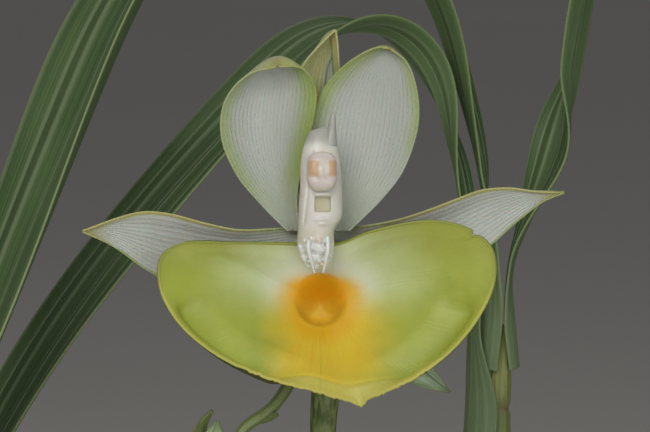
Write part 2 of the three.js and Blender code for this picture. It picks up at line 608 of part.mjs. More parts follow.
// Sepals and petals: a blade over three rails, its left margin, midrib and right margin, in the flower's frame
const blades = {
  dorsal_sepal: {
    left: [[-1.6, 3.4, 3.2], [-4.2, 4.6, 11], [-4.8, 5, 20], [-4.2, 4.3, 27.5], [-2.9, 2.2, 31.8], [0.2, 0.6, 35.4], [3.2, -0.6, 37.9]],
    middle: [[0, 4.2, 3.2], [0, 6.6, 11], [0.1, 7.6, 20], [0.5, 7, 27.5], [1.2, 5, 33], [2.2, 1.8, 37], [3.2, -0.6, 37.9]],
    right: [[1.6, 3.4, 3.2], [4.2, 4.6, 11], [4.9, 5, 20], [4.5, 4.3, 27.5], [3.7, 2.2, 31.8], [3.5, 0.6, 35.4], [3.2, -0.6, 37.9]],
    rows: 10,
    columns: 4,
  },
  lateral_sepal_left: {
    left: [[-2.9, 3.6, 2.3], [-8, 3.4, 2.2], [-14, 2.6, 2.2], [-20.3, 2.2, 3.4], [-26.6, 2, 4.9], [-31.4, 2, 5.3], [-36.4, 1.8, 4.2], [-42.8, 1, 1.6]],
    middle: [[-2.9, 4.2, 0], [-11, 6, -2], [-19, 6.6, -2.6], [-26, 6, -1.6], [-32, 4.6, 0], [-37.2, 3.2, 1.4], [-42.8, 1, 1.6]],
    right: [[-2.9, 3.6, -2.2], [-10, 6.2, -6.4], [-18, 7, -9.3], [-25, 6, -8.6], [-30.5, 4.4, -5.8], [-37.2, 2.6, -1], [-42.8, 1, 1.6]],
    rows: 11,
    columns: 4,
  },
  lateral_sepal_right: {
    left: [[2.9, 3.6, -2.2], [10, 6.2, -5.8], [18, 7, -7.2], [25.5, 6.2, -5], [31.3, 4.8, -0.9], [36.4, 3.4, 3.6], [40.9, 2, 7], [44.8, 1, 8.6]],
    middle: [[2.9, 4.2, 0], [10, 6, -1.2], [17, 6.6, -1], [24, 6.2, 1.2], [30.6, 5.2, 4.6], [36, 3.6, 7], [40.4, 2.2, 8.2], [44.8, 1, 8.6]],
    right: [[2.9, 3.6, 2.3], [9.4, 3.2, 2.9], [14.8, 2.7, 4], [20.2, 2.4, 5.9], [24.7, 2.2, 7.7], [29.4, 2.2, 9.3], [34.6, 2, 9.6], [39, 1.6, 9], [44.8, 1, 8.6]],
    rows: 11,
    columns: 4,
  },
  petal_left: {
    left: [[-5.4, 1, 1.6], [-10.1, 0.6, 6.3], [-14.6, 0, 11.6], [-17.3, -0.6, 18.6], [-16.6, -1.4, 25], [-12.6, -3, 29.6], [-7.2, -5.2, 31]],
    middle: [[-4.4, 1.8, 1.6], [-6.6, 2.4, 8], [-8.8, 3, 15], [-9.4, 3, 21.5], [-8.6, 1.8, 28], [-7.4, -1.6, 32.6], [-7.2, -5.2, 31]],
    right: [[-3.3, 1, 1.6], [-3.9, -0.2, 8], [-2.7, -0.9, 14.5], [-0.9, -1.2, 21], [-0.5, -1.8, 27], [-2.8, -3.6, 30.6], [-7.2, -5.2, 31]],
    rows: 10,
    columns: 6,
  },
  petal_right: {
    left: [[3.3, 1, 1.6], [0.7, 1.9, 7.5], [-1.4, 2, 14], [-1, 1.9, 20.5], [1.1, 1.2, 27.2], [5.4, -0.4, 31.9], [10.4, -2.2, 34.5], [12.9, -3.2, 34.3]],
    middle: [[4.4, 1.8, 1.6], [6, 2.8, 8], [7.8, 3.4, 15], [9, 3.3, 22], [10.4, 2, 29], [12.4, -0.6, 34.3], [12.9, -3.2, 34.3]],
    right: [[5.6, 1, 1.6], [11.2, 0.6, 7.2], [15.4, 0, 12.8], [18, -0.6, 20.6], [17.6, -1, 27.4], [15.8, -1.8, 32], [12.9, -3.2, 34.3]],
    rows: 10,
    columns: 6,
  },
};

function bladeGrid({ left, middle, right, rows, columns }) {
  const rails = [left, middle, right].map(smoothCurve);
  return Array.from({ length: rows + 1 }, (_, i) => {
    const t = Math.min(i / rows, 0.985);
    const [a, b, c] = rails.map((rail) => rail.getPointAt(t));
    return Array.from({ length: columns + 1 }, (_unused, j) => {
      const w = (2 * j) / columns - 1;
      return a.clone().multiplyScalar((w * (w - 1)) / 2).addScaledVector(b, 1 - w * w).addScaledVector(c, (w * (w + 1)) / 2);
    });
  });
}

function makeSepalsAndPetals() {
  Object.entries(blades).forEach(([name, blade]) => {
    addPiece(flower, name, thinShell(bladeGrid(blade), petalThickness), name.startsWith("petal") ? "petal" : "sepal");
  });
}

// Lip: a broad fleshy bowl with a sac in its floor. The rim goes round from the claw by the viewer's left.
const lip = {
  rim: [
    [-4, -0.2, -0.6], [-15.8, -3, -0.4], [-24, -4.6, -0.5], [-27.8, -6, -2.9], [-28.1, -7.5, -8.1], [-24.8, -9.2, -14.4],
    [-18.2, -11, -20], [-9.6, -12.4, -24], [-1, -12.8, -26.5], [6.8, -11.8, -28.3], [14.2, -12.6, -25.7], [22, -11.4, -20.8],
    [28, -9, -14.3], [31.4, -7, -7], [30.9, -5.6, -1.4], [26.8, -4.6, 2.1], [20, -3.6, 3.5], [9.4, -2.2, 1.6], [3.6, -0.2, -0.6],
  ],
  sac: { centre: [0.4, 3.2, -11], radius: 5.1, depth: 4.6, sag: -1.2 },
  rise: 1.9,
  columns: 34,
  sacRings: [0.35, 0.72, 1.06],
  bowlRings: [0.16, 0.36, 0.58, 0.79, 0.91, 1],
  reflex: { from: 0.86, out: 2.6, side: [-14, 22] },
};

function lipPoint(edge, share, centre) {
  const point = centre.clone().lerp(edge, share);
  const climb = share ** lip.rise;
  point.y = THREE.MathUtils.lerp(centre.y, edge.y, climb);
  // Towards its lower edge the margin turns back from a crease.
  const [from, to] = lip.reflex.side;
  const middle = Math.max(0, 1 - ((edge.x - (from + to) / 2) / ((to - from) / 2)) ** 2);
  const lower = edge.z < lip.sac.centre[2] ? middle : 0;
  const past = Math.max(0, share - lip.reflex.from) / (1 - lip.reflex.from);
  point.y += lip.reflex.out * lower * past;
  return point;
}

function makeLip() {
  const rim = new THREE.CatmullRomCurve3(lip.rim.map(vector), true, "centripetal");
  const centre = vector(lip.sac.centre);
  const edges = Array.from({ length: lip.columns }, (_, j) => rim.getPointAt(j / lip.columns));
  const sacEdge = (edge) => lip.sac.radius / Math.hypot(edge.x - centre.x, edge.z - centre.z);
  const sacRing = (scale) => edges.map((edge) => {
    const point = lipPoint(edge, sacEdge(edge) * scale, centre);
    const sunk = Math.max(0, 1 - scale ** 2);
    point.y += lip.sac.depth * sunk;
    point.z += lip.sac.sag * sunk;
    return point;
  });
  const bowlRing = (scale) => edges.map((edge) => lipPoint(edge, THREE.MathUtils.lerp(sacEdge(edge) * 1.06, 1, scale), centre));
  const rings = [...lip.sacRings.map(sacRing), ...lip.bowlRings.map(bowlRing)];
  const pole = centre.clone().add(new THREE.Vector3(0, lip.sac.depth, lip.sac.sag));
  addPiece(flower, "lip", thinShell(rings, lipThickness, { wraps: true, pole }), "lip");
}

// Column: an upright body with a stigma hollow, a beak and two feelers, and the anther cap on its front
const column = {
  // Each station is its height, its left and right edges as seen from the front, and its front and back faces.
  stations: [
    [-5.2, -1.9, 1.5, -4.6, -2.6],
    [-3.2, -3.1, 2.5, -5.4, -2.1],
    [-0.6, -3.7, 2.9, -6, -1.3],
    [2, -3.6, 3, -6.4, -1],
    [4, -3.5, 4.2, -6.8, -1.1],
    [6.5, -3.4, 4.4, -7.2, -1.4],
    [9.5, -3.2, 4.3, -7.6, -2],
    [13.5, -3.1, 4, -7.8, -2.8],
    [16.5, -2.6, 3.5, -7.6, -3.8],
    [18.6, -1.8, 3.1, -7, -4.8],
    [20.1, -1, 2.7, -6.4, -5.2],
  ],
  sides: 12,
  stigma: { centre: [0.85, -7.8, 6.4], size: [2.8, 3.4, 2.7] },
  beak: { path: [[2.2, -6, 17], [2.5, -6.3, 20], [2.7, -6.7, 22.6]], radii: [[0, 1.1], [0.6, 0.65], [1, 0.45]] },
  feelers: [
    [[-1.5, -5.4, 0.6], [-1.7, -6, -1.4], [-1.2, -5.9, -3.6], [-0.6, -5.2, -5.8]],
    [[1.7, -5.4, 0.6], [1.8, -6, -1.4], [1.4, -5.9, -3.6], [0.9, -5.2, -5.8]],
  ],
  anther: { centre: [0.7, -8.2, 12.2], size: [2.7, 1.9, 3.5] },
};

function antherGeometry(grow) {
  const { centre, size } = column.anther;
  const cap = new THREE.SphereGeometry(1, 12, 8).rotateX(Math.PI / 2);
  return cap.scale(...size.map((half) => half + grow)).translate(...centre);
}

function makeColumn() {
  const rings = column.stations.map(([height, left, right, front, back]) => Array.from({ length: column.sides }, (_, j) => {
    const turn = (2 * Math.PI * j) / column.sides;
    const x = (left + right) / 2 + ((right - left) / 2) * Math.cos(turn);
    return new THREE.Vector3(x, (front + back) / 2 + ((back - front) / 2) * Math.sin(turn), height);
  }));
  const trimmings = [
    taperedStem(column.beak.path, column.beak.radii, 4, 6),
    ...column.feelers.map((path) => taperedStem(path, [[0, 0.6], [0.6, 0.45], [1, 0.25]], 7, 6)),
  ];
  const stigma = new THREE.BoxGeometry(...column.stigma.size).translate(...column.stigma.centre);
  const solid = joined([skinRings(rings), ...trimmings]).subtract(joined([stigma, antherGeometry(GAP)]));
  addPiece(flower, "column", geometryOfSolid(solid), "column");
  addPiece(flower, "anther_cap", antherGeometry(0), "anther");
}

makePot();
makePottingMix();
makeRhizome();
Object.keys(bulbs).forEach(makeBulb);
Object.keys(drySheaths).forEach(makeDrySheath);
makeLeaves();
makeSpike();
makeSepalsAndPetals();
makeLip();
makeColumn();
addPiece(flower, "bud_small", budGeometry(smallBud), "bud");
addPiece(flower, "bud_large", budGeometry(largeBud), "bud");

export default part;
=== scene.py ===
"""The looks of a potted Catasetum pileatum orchid: one open male flower, two buds, six pleated leaves,
three pseudobulbs with their roots, bark and a clay pot.

Sizes are millimetres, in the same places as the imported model, and every mesh is written in metres. The
flower has its own frame, tilted back by a few degrees: x to the viewer's right, y away from the viewer and
z upwards.
"""

from __future__ import annotations

import logging
import math
from dataclasses import dataclass, field
from enum import Enum
from functools import reduce
from typing import Any, Sequence

import bpy
import numpy as np
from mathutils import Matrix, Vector


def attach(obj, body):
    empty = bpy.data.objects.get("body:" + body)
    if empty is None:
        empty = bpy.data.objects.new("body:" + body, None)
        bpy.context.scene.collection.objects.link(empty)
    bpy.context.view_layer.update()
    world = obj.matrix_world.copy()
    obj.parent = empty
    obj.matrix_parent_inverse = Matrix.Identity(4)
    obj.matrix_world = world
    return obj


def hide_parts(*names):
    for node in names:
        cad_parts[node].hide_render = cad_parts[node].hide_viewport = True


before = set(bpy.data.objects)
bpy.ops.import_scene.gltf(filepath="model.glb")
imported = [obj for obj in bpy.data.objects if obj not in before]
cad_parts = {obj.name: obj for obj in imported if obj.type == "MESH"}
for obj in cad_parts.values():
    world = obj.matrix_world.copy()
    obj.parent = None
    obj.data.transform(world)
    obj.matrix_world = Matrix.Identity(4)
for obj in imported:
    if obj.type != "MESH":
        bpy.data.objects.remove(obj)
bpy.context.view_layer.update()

Point = tuple[float, float, float]
Points = Sequence[Point]
Pairs = Sequence[tuple[float, float]]
Values = dict[str, Any]
Socket = bpy.types.NodeSocket
Material = bpy.types.Material
Piece = bpy.types.Object

MM = 0.001
GAP = 0.35
BODY = "root"
EDGE_ROUND = 0.8
TUBE_CAP = 0.4
PATH_STEPS = 32

log = logging.getLogger("orchid")


# Curves and number helpers


def smoothstep(low: float, high: float, value: Any) -> Any:
    """Rises smoothly from 0 at low to 1 at high."""
    share = np.clip((np.asarray(value, float) - low) / (high - low), 0.0, 1.0)
    return share * share * (3.0 - 2.0 * share)


def bump(value: Any, middle: float, width: float) -> Any:
    """A soft hill of height 1 over a middle value."""
    return np.exp(-(((np.asarray(value, float) - middle) / width) ** 2))


def through(pairs: Pairs, at: Any) -> np.ndarray:
    """Reads a smooth curve through a short table.

    Args:
        pairs: Places and the values there, in rising order of place.
        at: The place or places to read.

    Returns:
        The value at each place, held level past either end.
    """
    places, values = np.array(pairs, float).T
    at = np.asarray(at, float)
    last = len(places) - 1
    order = np.arange(last + 1)
    ahead, behind = np.minimum(order + 1, last), np.maximum(order - 1, 0)
    slopes = (values[ahead] - values[behind]) / (places[ahead] - places[behind])
    k = np.clip(np.searchsorted(places, at, side="right") - 1, 0, last - 1)
    span = places[k + 1] - places[k]
    t = np.clip((at - places[k]) / span, 0.0, 1.0)
    rise = (3 * t**2 - 2 * t**3) * (values[k + 1] - values[k])
    leave = (t**3 - 2 * t**2 + t) * slopes[k] * span
    arrive = (t**3 - t**2) * slopes[k + 1] * span
    return values[k] + rise + leave + arrive


def eased(pairs: Pairs, at: float) -> float:
    """Reads a table that eases from each value to the next, with a level stretch at each place."""
    for (low, start), (high, end) in zip(pairs, pairs[1:]):
        if at <= high:
            return start + (end - start) * float(smoothstep(low, high, at))
    return pairs[-1][1]


def smooth_path(points: Points, count: int, closed: bool = False) -> np.ndarray:
    """Spaces points evenly along a smooth curve through a few given ones.

    Args:
        points: The points that the curve passes through.
        count: How many points to return.
        closed: Whether the curve runs back to its first point.

    Returns:
        An array of count points. A closed path doesn't repeat its first one.
    """
    given = np.array(points, float)
    if closed:
        knots = np.vstack([given[-1:], given, given[:2]])
    else:
        knots = np.vstack([2 * given[0] - given[1], given, 2 * given[-1] - given[-2]])
    steps = np.linspace(0.0, 1.0, PATH_STEPS + 1)[:-1, None]
    pieces = []
    for p0, p1, p2, p3 in zip(knots, knots[1:], knots[2:], knots[3:]):
        d0, d1, d2 = (max(np.linalg.norm(b - a), 1e-6) ** 0.5 for a, b in ((p0, p1), (p1, p2), (p2, p3)))
        leave = ((p1 - p0) / d0 - (p2 - p0) / (d0 + d1) + (p2 - p1) / d1) * d1
        arrive = ((p2 - p1) / d1 - (p3 - p1) / (d1 + d2) + (p3 - p2) / d2) * d1
        t = steps
        pieces.append(
            (2 * t**3 - 3 * t**2 + 1) * p1 + (t**3 - 2 * t**2 + t) * leave
            + (3 * t**2 - 2 * t**3) * p2 + (t**3 - t**2) * arrive
        )
    dense = np.vstack([*pieces, given[:1] if closed else given[-1:]])
    reach = np.concatenate([[0.0], np.cumsum(np.linalg.norm(np.diff(dense, axis=0), axis=1))])
    at = np.linspace(0.0, reach[-1], count + 1)[:-1] if closed else np.linspace(0.0, reach[-1], count)
    return np.stack([np.interp(at, reach, dense[:, k]) for k in range(3)], axis=1)


def turns(count: int) -> np.ndarray:
    """Angles spaced evenly round a circle, in radians."""
    return np.linspace(0.0, 2 * math.pi, count, endpoint=False)


def unit(vectors: np.ndarray) -> np.ndarray:
    """Vectors scaled to a length of one."""
    return vectors / np.maximum(np.linalg.norm(vectors, axis=-1, keepdims=True), 1e-9)


def grid_normals(grid: np.ndarray, wraps: bool) -> np.ndarray:
    """The way a grid of points faces at each of them.

    Args:
        grid: Rows of points, as an array of rows, columns and 3.
        wraps: Whether the last column runs on into the first.

    Returns:
        Unit vectors, across times along, in the grid's shape.
    """
    if wraps:
        across = np.roll(grid, -1, axis=1) - np.roll(grid, 1, axis=1)
    else:
        across = np.gradient(grid, axis=1)
    return unit(np.cross(across, np.gradient(grid, axis=0)))


@dataclass(frozen=True)
class FlowerFrame:
    """Where the flower stands in the row frame, and how far it tilts back."""

    origin: Point = (-10.0, -122.0, 255.0)
    tilt: float = math.radians(-8.0)

    def place(self, points: Any) -> np.ndarray:
        """Moves points from the flower's frame into the row frame."""
        x, y, z = np.moveaxis(np.asarray(points, float), -1, 0)
        c, s = math.cos(self.tilt), math.sin(self.tilt)
        return np.stack([x, y * c - z * s, y * s + z * c], axis=-1) + np.array(self.origin)


FLOWER = FlowerFrame()


# Meshes


class MeshDraft:
    """Gathers the points, faces and surface values of one piece, in millimetres."""

    def __init__(self) -> None:
        """Starts an empty draft."""
        self.points: list[np.ndarray] = []
        self.faces: list[np.ndarray] = []
        self.uvs: list[np.ndarray] = []
        self.values: list[Values] = []
        self.total = 0

    def add_points(self, points: np.ndarray, values: Values) -> int:
        """Adds points with their values and returns the number of the first one."""
        first = self.total
        self.points.append(points.reshape(-1, 3))
        self.total += len(self.points[-1])
        flat = {name: np.broadcast_to(v, points.shape[:-1]).ravel() for name, v in values.items()}
        self.values.append(flat)
        return first

    def add_faces(self, faces: np.ndarray, uvs: np.ndarray) -> None:
        """Adds faces of three or four corners each, with a UV place for each corner."""
        self.faces.append(faces)
        self.uvs.append(uvs.reshape(-1, 2))

    def add_grid(
        self,
        grid: np.ndarray,
        wraps: bool = False,
        loops: bool = False,
        values: Values | None = None,
        u: np.ndarray | None = None,
        v: np.ndarray | None = None,
    ) -> int:
        """Adds a grid of four-sided faces that face across times along.

        Args:
            grid: Rows of points.
            wraps: Whether the last column runs on into the first.
            loops: Whether the last row runs on into the first.
            values: Named values at the points.
            u: The UV place of each column edge, one more than the columns where the grid wraps.
            v: The UV place of each row edge, one more than the rows where the grid loops.

        Returns:
            The number of the grid's first point.
        """
        rows, columns = grid.shape[:2]
        first = self.add_points(grid, values or {})
        u = np.linspace(0.0, 1.0, columns + wraps) if u is None else u
        v = np.linspace(0.0, 1.0, rows + loops) if v is None else v
        i, j = np.meshgrid(np.arange(rows - 1 + loops), np.arange(columns - 1 + wraps), indexing="ij")
        i, j = i.ravel(), j.ravel()
        i2, j2 = (i + 1) % rows, (j + 1) % columns
        corners = [(i, j), (i, j2), (i2, j2), (i2, j)]
        faces = np.stack([first + a * columns + b for a, b in corners], axis=1)
        uvs = np.stack(
            [np.stack([u[b], v[a]], axis=1) for a, b in ((i, j), (i, j + 1), (i + 1, j + 1), (i + 1, j))],
            axis=1,
        )
        self.add_faces(faces, uvs)
        return first

    def add_fan(self, centre: Sequence[float], ring: np.ndarray, values: Values | None = None) -> None:
        """Closes a ring of point numbers with triangles round a new centre point."""
        middle = self.add_points(np.array(centre, float).reshape(1, 3), values or {})
        faces = np.stack([np.full(len(ring), middle), ring, np.roll(ring, -1)], axis=1)
        self.add_faces(faces, np.full((len(ring), 3, 2), 0.5))

    def build(self, name: str, material: Material) -> Piece:
        """Writes the draft as an object at the origin, in metres.

        Args:
            name: The piece's name.
            material: Its finish.

        Returns:
            The linked object, shaded smooth.
        """
        mesh = bpy.data.meshes.new(name)
        faces = [face for group in self.faces for face in group.tolist()]
        mesh.from_pydata((np.vstack(self.points) * MM).tolist(), [], faces)
        layer = mesh.uv_layers.new(name="surface")
        layer.data.foreach_set("uv", np.vstack(self.uvs).astype(np.float32).ravel())
        for key in sorted({key for values in self.values for key in values}):
            parts = [v.get(key, np.zeros(len(p))) for v, p in zip(self.values, self.points)]
            store = mesh.attributes.new(key, "FLOAT", "POINT")
            store.data.foreach_set("value", np.concatenate(parts).astype(np.float32))
        mesh.materials.append(material)
        mesh.shade_smooth()
        mesh.update()
        piece = bpy.data.objects.new(name, mesh)
        bpy.context.scene.collection.objects.link(piece)
        return piece


def add_blade_shell(draft: MeshDraft, grid: np.ndarray, thickness: Any, values: Values) -> None:
    """Adds a thin closed blade on a grid of points, with rounded side edges.

    Args:
        draft: The draft that receives it.
        grid: Rows of points from the left margin to the right one.
        thickness: The thickness at each point, or one for all.
        values: Named values at the grid's points. The value "face" is added: 1 in front, 0 behind.
    """
    rows, columns = grid.shape[:2]
    half = np.broadcast_to(thickness, grid.shape[:2])[..., None] / 2
    normals = grid_normals(grid, False)
    front, back = grid + normals * half, grid - normals * half
    left = grid[:, :1] + unit(grid[:, :1] - grid[:, 1:2]) * half[:, :1] * EDGE_ROUND
    right = grid[:, -1:] + unit(grid[:, -1:] - grid[:, -2:-1]) * half[:, -1:] * EDGE_ROUND
    loop = np.concatenate([front, right, back[:, ::-1], left], axis=1)

    def round_loop(value: Any, face: tuple[float, float, float] | None = None) -> np.ndarray:
        """Carries a value round the loop, or sets one number each for the front, the edges and the back."""
        full = np.broadcast_to(value, (rows, columns)).astype(float)
        parts = [full, full[:, -1:], full[:, ::-1], full[:, :1]]
        if face:
            ahead, edge, behind = face
            parts = [full * 0 + ahead, full[:, -1:] * 0 + edge, full * 0 + behind, full[:, :1] * 0 + edge]
        return np.concatenate(parts, axis=1)

    around = {name: round_loop(value) for name, value in values.items()}
    around["face"] = round_loop(0.0, (1.0, 0.5, 0.0))
    across = np.linspace(0.0, 1.0, columns)
    u = np.concatenate([across, [1.0], across[::-1], [0.0, 0.0]])
    first = draft.add_grid(loop, wraps=True, values=around, u=u)
    width = loop.shape[1]
    for row, forward in ((0, False), (rows - 1, True)):
        front_row = first + row * width + np.arange(columns)
        back_row = first + row * width + columns + 1 + np.arange(columns)[::-1]
        a, b, c, d = front_row[:-1], front_row[1:], back_row[1:], back_row[:-1]
        faces = np.stack([a, b, c, d] if forward else [d, c, b, a], axis=1)
        v = row / (rows - 1)
        uvs = np.stack([np.stack([across[:-1], across[:-1] * 0 + v], axis=1)] * 4, axis=1)
        draft.add_faces(faces, uvs)
        right_edge, left_edge = first + row * width + columns, first + row * width + width - 1
        caps = [[front_row[-1], right_edge, back_row[-1]], [back_row[0], left_edge, front_row[0]]]
        faces = np.array(caps) if forward else np.array(caps)[:, ::-1]
        draft.add_faces(faces, np.full((2, 3, 2), v))


def add_round_shell(
    draft: MeshDraft, grid: np.ndarray, thickness: Any, values: Values, pole: Point | None = None
) -> None:
    """Adds a thin closed shell whose rows are whole rings, with rounded rims.

    Args:
        draft: The draft that receives it.
        grid: Rings of points, the outermost last where there is a pole.
        thickness: The thickness at each point, or one for all.
        values: Named values at the grid's points. The value "face" is added: 1 in front, 0 behind.
        pole: The point inside the first ring, which closes a dish. A sleeve has none.
    """
    half = np.broadcast_to(thickness, grid.shape[:2])[..., None] / 2
    normals = grid_normals(grid, True)
    front, back = grid + normals * half, grid - normals * half
    outer = grid[-1:] + unit(grid[-1:] - grid[-2:-1]) * half[-1:] * EDGE_ROUND
    inner = grid[:1] + unit(grid[:1] - grid[1:2]) * half[:1] * EDGE_ROUND
    stack = [front, outer, back[::-1]] + ([] if pole else [inner])
    faces = [1.0, 0.5, 0.0] + ([] if pole else [0.5])
    rings = np.concatenate(stack, axis=0)

    def stacked(value: Any) -> np.ndarray:
        """Carries a value over the front, the rims and the back."""
        full = np.broadcast_to(value, grid.shape[:2]).astype(float)
        return np.concatenate([full, full[-1:], full[::-1]] + ([] if pole else [full[:1]]), axis=0)

    around = {name: stacked(value) for name, value in values.items()}
    around["face"] = np.concatenate(
        [np.full(part.shape[:2], face) for part, face in zip(stack, faces)], axis=0
    )
    rows, columns = grid.shape[:2]
    along = np.linspace(0.0, 1.0, rows)
    v = np.concatenate([along, [1.0], along[::-1]] + ([] if pole else [[0.0, 0.0]]))
    first = draft.add_grid(rings, wraps=True, loops=pole is None, values=around, v=v)
    if pole:
        axis = unit(normals[0].mean(axis=0)) * half[0, 0]
        inner_values = {
            name: float(np.mean(np.broadcast_to(value, grid.shape[:2])[0]))
            for name, value in values.items()
        }
        ring = first + np.arange(columns)
        draft.add_fan(np.array(pole) + axis, ring[::-1], {**inner_values, "face": 1.0})
        draft.add_fan(
            np.array(pole) - axis, ring + (len(rings) - 1) * columns, {**inner_values, "face": 0.0}
        )


def add_tube(
    draft: MeshDraft, path: np.ndarray, radii: np.ndarray, sides: int, values: Values | None = None
) -> None:
    """Adds a round tapering stem with closed ends.

    Args:
        draft: The draft that receives it.
        path: Points along its middle.
        radii: Its radius at each point.
        sides: Points in each ring.
        values: Named values, one for the whole stem each.
    """
    ahead = unit(np.gradient(path, axis=0))
    side = np.cross(ahead[0], (0.0, 0.0, 1.0) if abs(ahead[0][2]) < 0.9 else (1.0, 0.0, 0.0))
    turn = turns(sides)[:, None]
    rings = []
    for centre, forward, radius in zip(path, ahead, radii):
        side = unit(side - forward * (side @ forward))
        up = np.cross(forward, side)
        rings.append(centre + radius * (np.cos(turn) * side + np.sin(turn) * up))
    constant = values or {}
    first = draft.add_grid(np.array(rings), wraps=True, values=constant)
    ring = first + np.arange(sides)
    draft.add_fan(path[0] - ahead[0] * radii[0] * TUBE_CAP, ring[::-1], constant)
    draft.add_fan(path[-1] + ahead[-1] * radii[-1] * TUBE_CAP, ring + (len(path) - 1) * sides, constant)


# Node trees


class NodeBuilder:
    """Adds nodes to a tree and wires them in one call each."""

    def __init__(self, tree: bpy.types.NodeTree) -> None:
        """Takes the tree that the nodes go into."""
        self.tree = tree

    def add(self, kind: str, inputs: dict[Any, Any] | None = None, **settings: Any) -> bpy.types.Node:
        """Adds a node.

        Args:
            kind: The node's type name.
            inputs: Its inputs by name or number, each a socket to link or a plain value.
            settings: Properties of the node itself.

        Returns:
            The node.
        """
        node = self.tree.nodes.new(kind)
        for name, value in settings.items():
            setattr(node, name, value)
        for key, value in (inputs or {}).items():
            if isinstance(value, Socket):
                self.tree.links.new(value, node.inputs[key])
            else:
                node.inputs[key].default_value = value
        return node

    def math(self, operation: str, a: Any, b: Any = 0.0) -> Socket:
        """One step of arithmetic on two numbers."""
        return self.add("ShaderNodeMath", {0: a, 1: b}, operation=operation).outputs[0]

    def times(self, first: Any, *others: Any) -> Any:
        """The product of numbers, from the first one on."""
        return reduce(lambda a, b: self.math("MULTIPLY", a, b), others, first)

    def plus(self, first: Any, *others: Any) -> Any:
        """The sum of numbers, from the first one on."""
        return reduce(lambda a, b: self.math("ADD", a, b), others, first)

    def minus(self, a: Any, b: Any) -> Socket:
        """One number less another."""
        return self.math("SUBTRACT", a, b)

    def over(self, a: Any, b: Any) -> Socket:
        """One number divided by another."""
        return self.math("DIVIDE", a, b)

    def power(self, a: Any, b: float) -> Socket:
        """A number raised to a power."""
        return self.math("POWER", a, b)

    def size(self, a: Any) -> Socket:
        """A number without its sign."""
        return self.math("ABSOLUTE", a)

    def sine(self, a: Any) -> Socket:
        """The sine of an angle in radians."""
        return self.math("SINE", a)

    def cosine(self, a: Any) -> Socket:
        """The cosine of an angle in radians."""
        return self.math("COSINE", a)

    def step(self, value: Any, low: float, high: float) -> Socket:
        """Rises smoothly from 0 at low to 1 at high, or falls where high is the lower number."""
        flip = high < low
        inputs = {"Value": value, "From Min": min(low, high), "From Max": max(low, high)}
        inputs |= {"To Min": float(flip), "To Max": float(not flip)}
        return self.add("ShaderNodeMapRange", inputs, interpolation_type="SMOOTHSTEP").outputs[0]

    def noise(self, place: Any, scale: float, detail: float = 2.0, rough: float = 0.5) -> Socket:
        """Soft noise round 0.5 at a place."""
        inputs = {"Vector": place, "Scale": scale, "Detail": detail, "Roughness": rough}
        return self.add("ShaderNodeTexNoise", inputs).outputs[0]

    def vector(self, x: Any, y: Any, z: Any = 0.0) -> Socket:
        """Three numbers as a vector."""
        return self.add("ShaderNodeCombineXYZ", {"X": x, "Y": y, "Z": z}).outputs[0]


def linear(colour: str) -> tuple[float, float, float, float]:
    """A hex colour as the renderer's own numbers."""
    parts = [int(colour[k : k + 2], 16) / 255 for k in (1, 3, 5)]
    red, green, blue = (c / 12.92 if c <= 0.04045 else ((c + 0.055) / 1.055) ** 2.4 for c in parts)
    return (red, green, blue, 1.0)


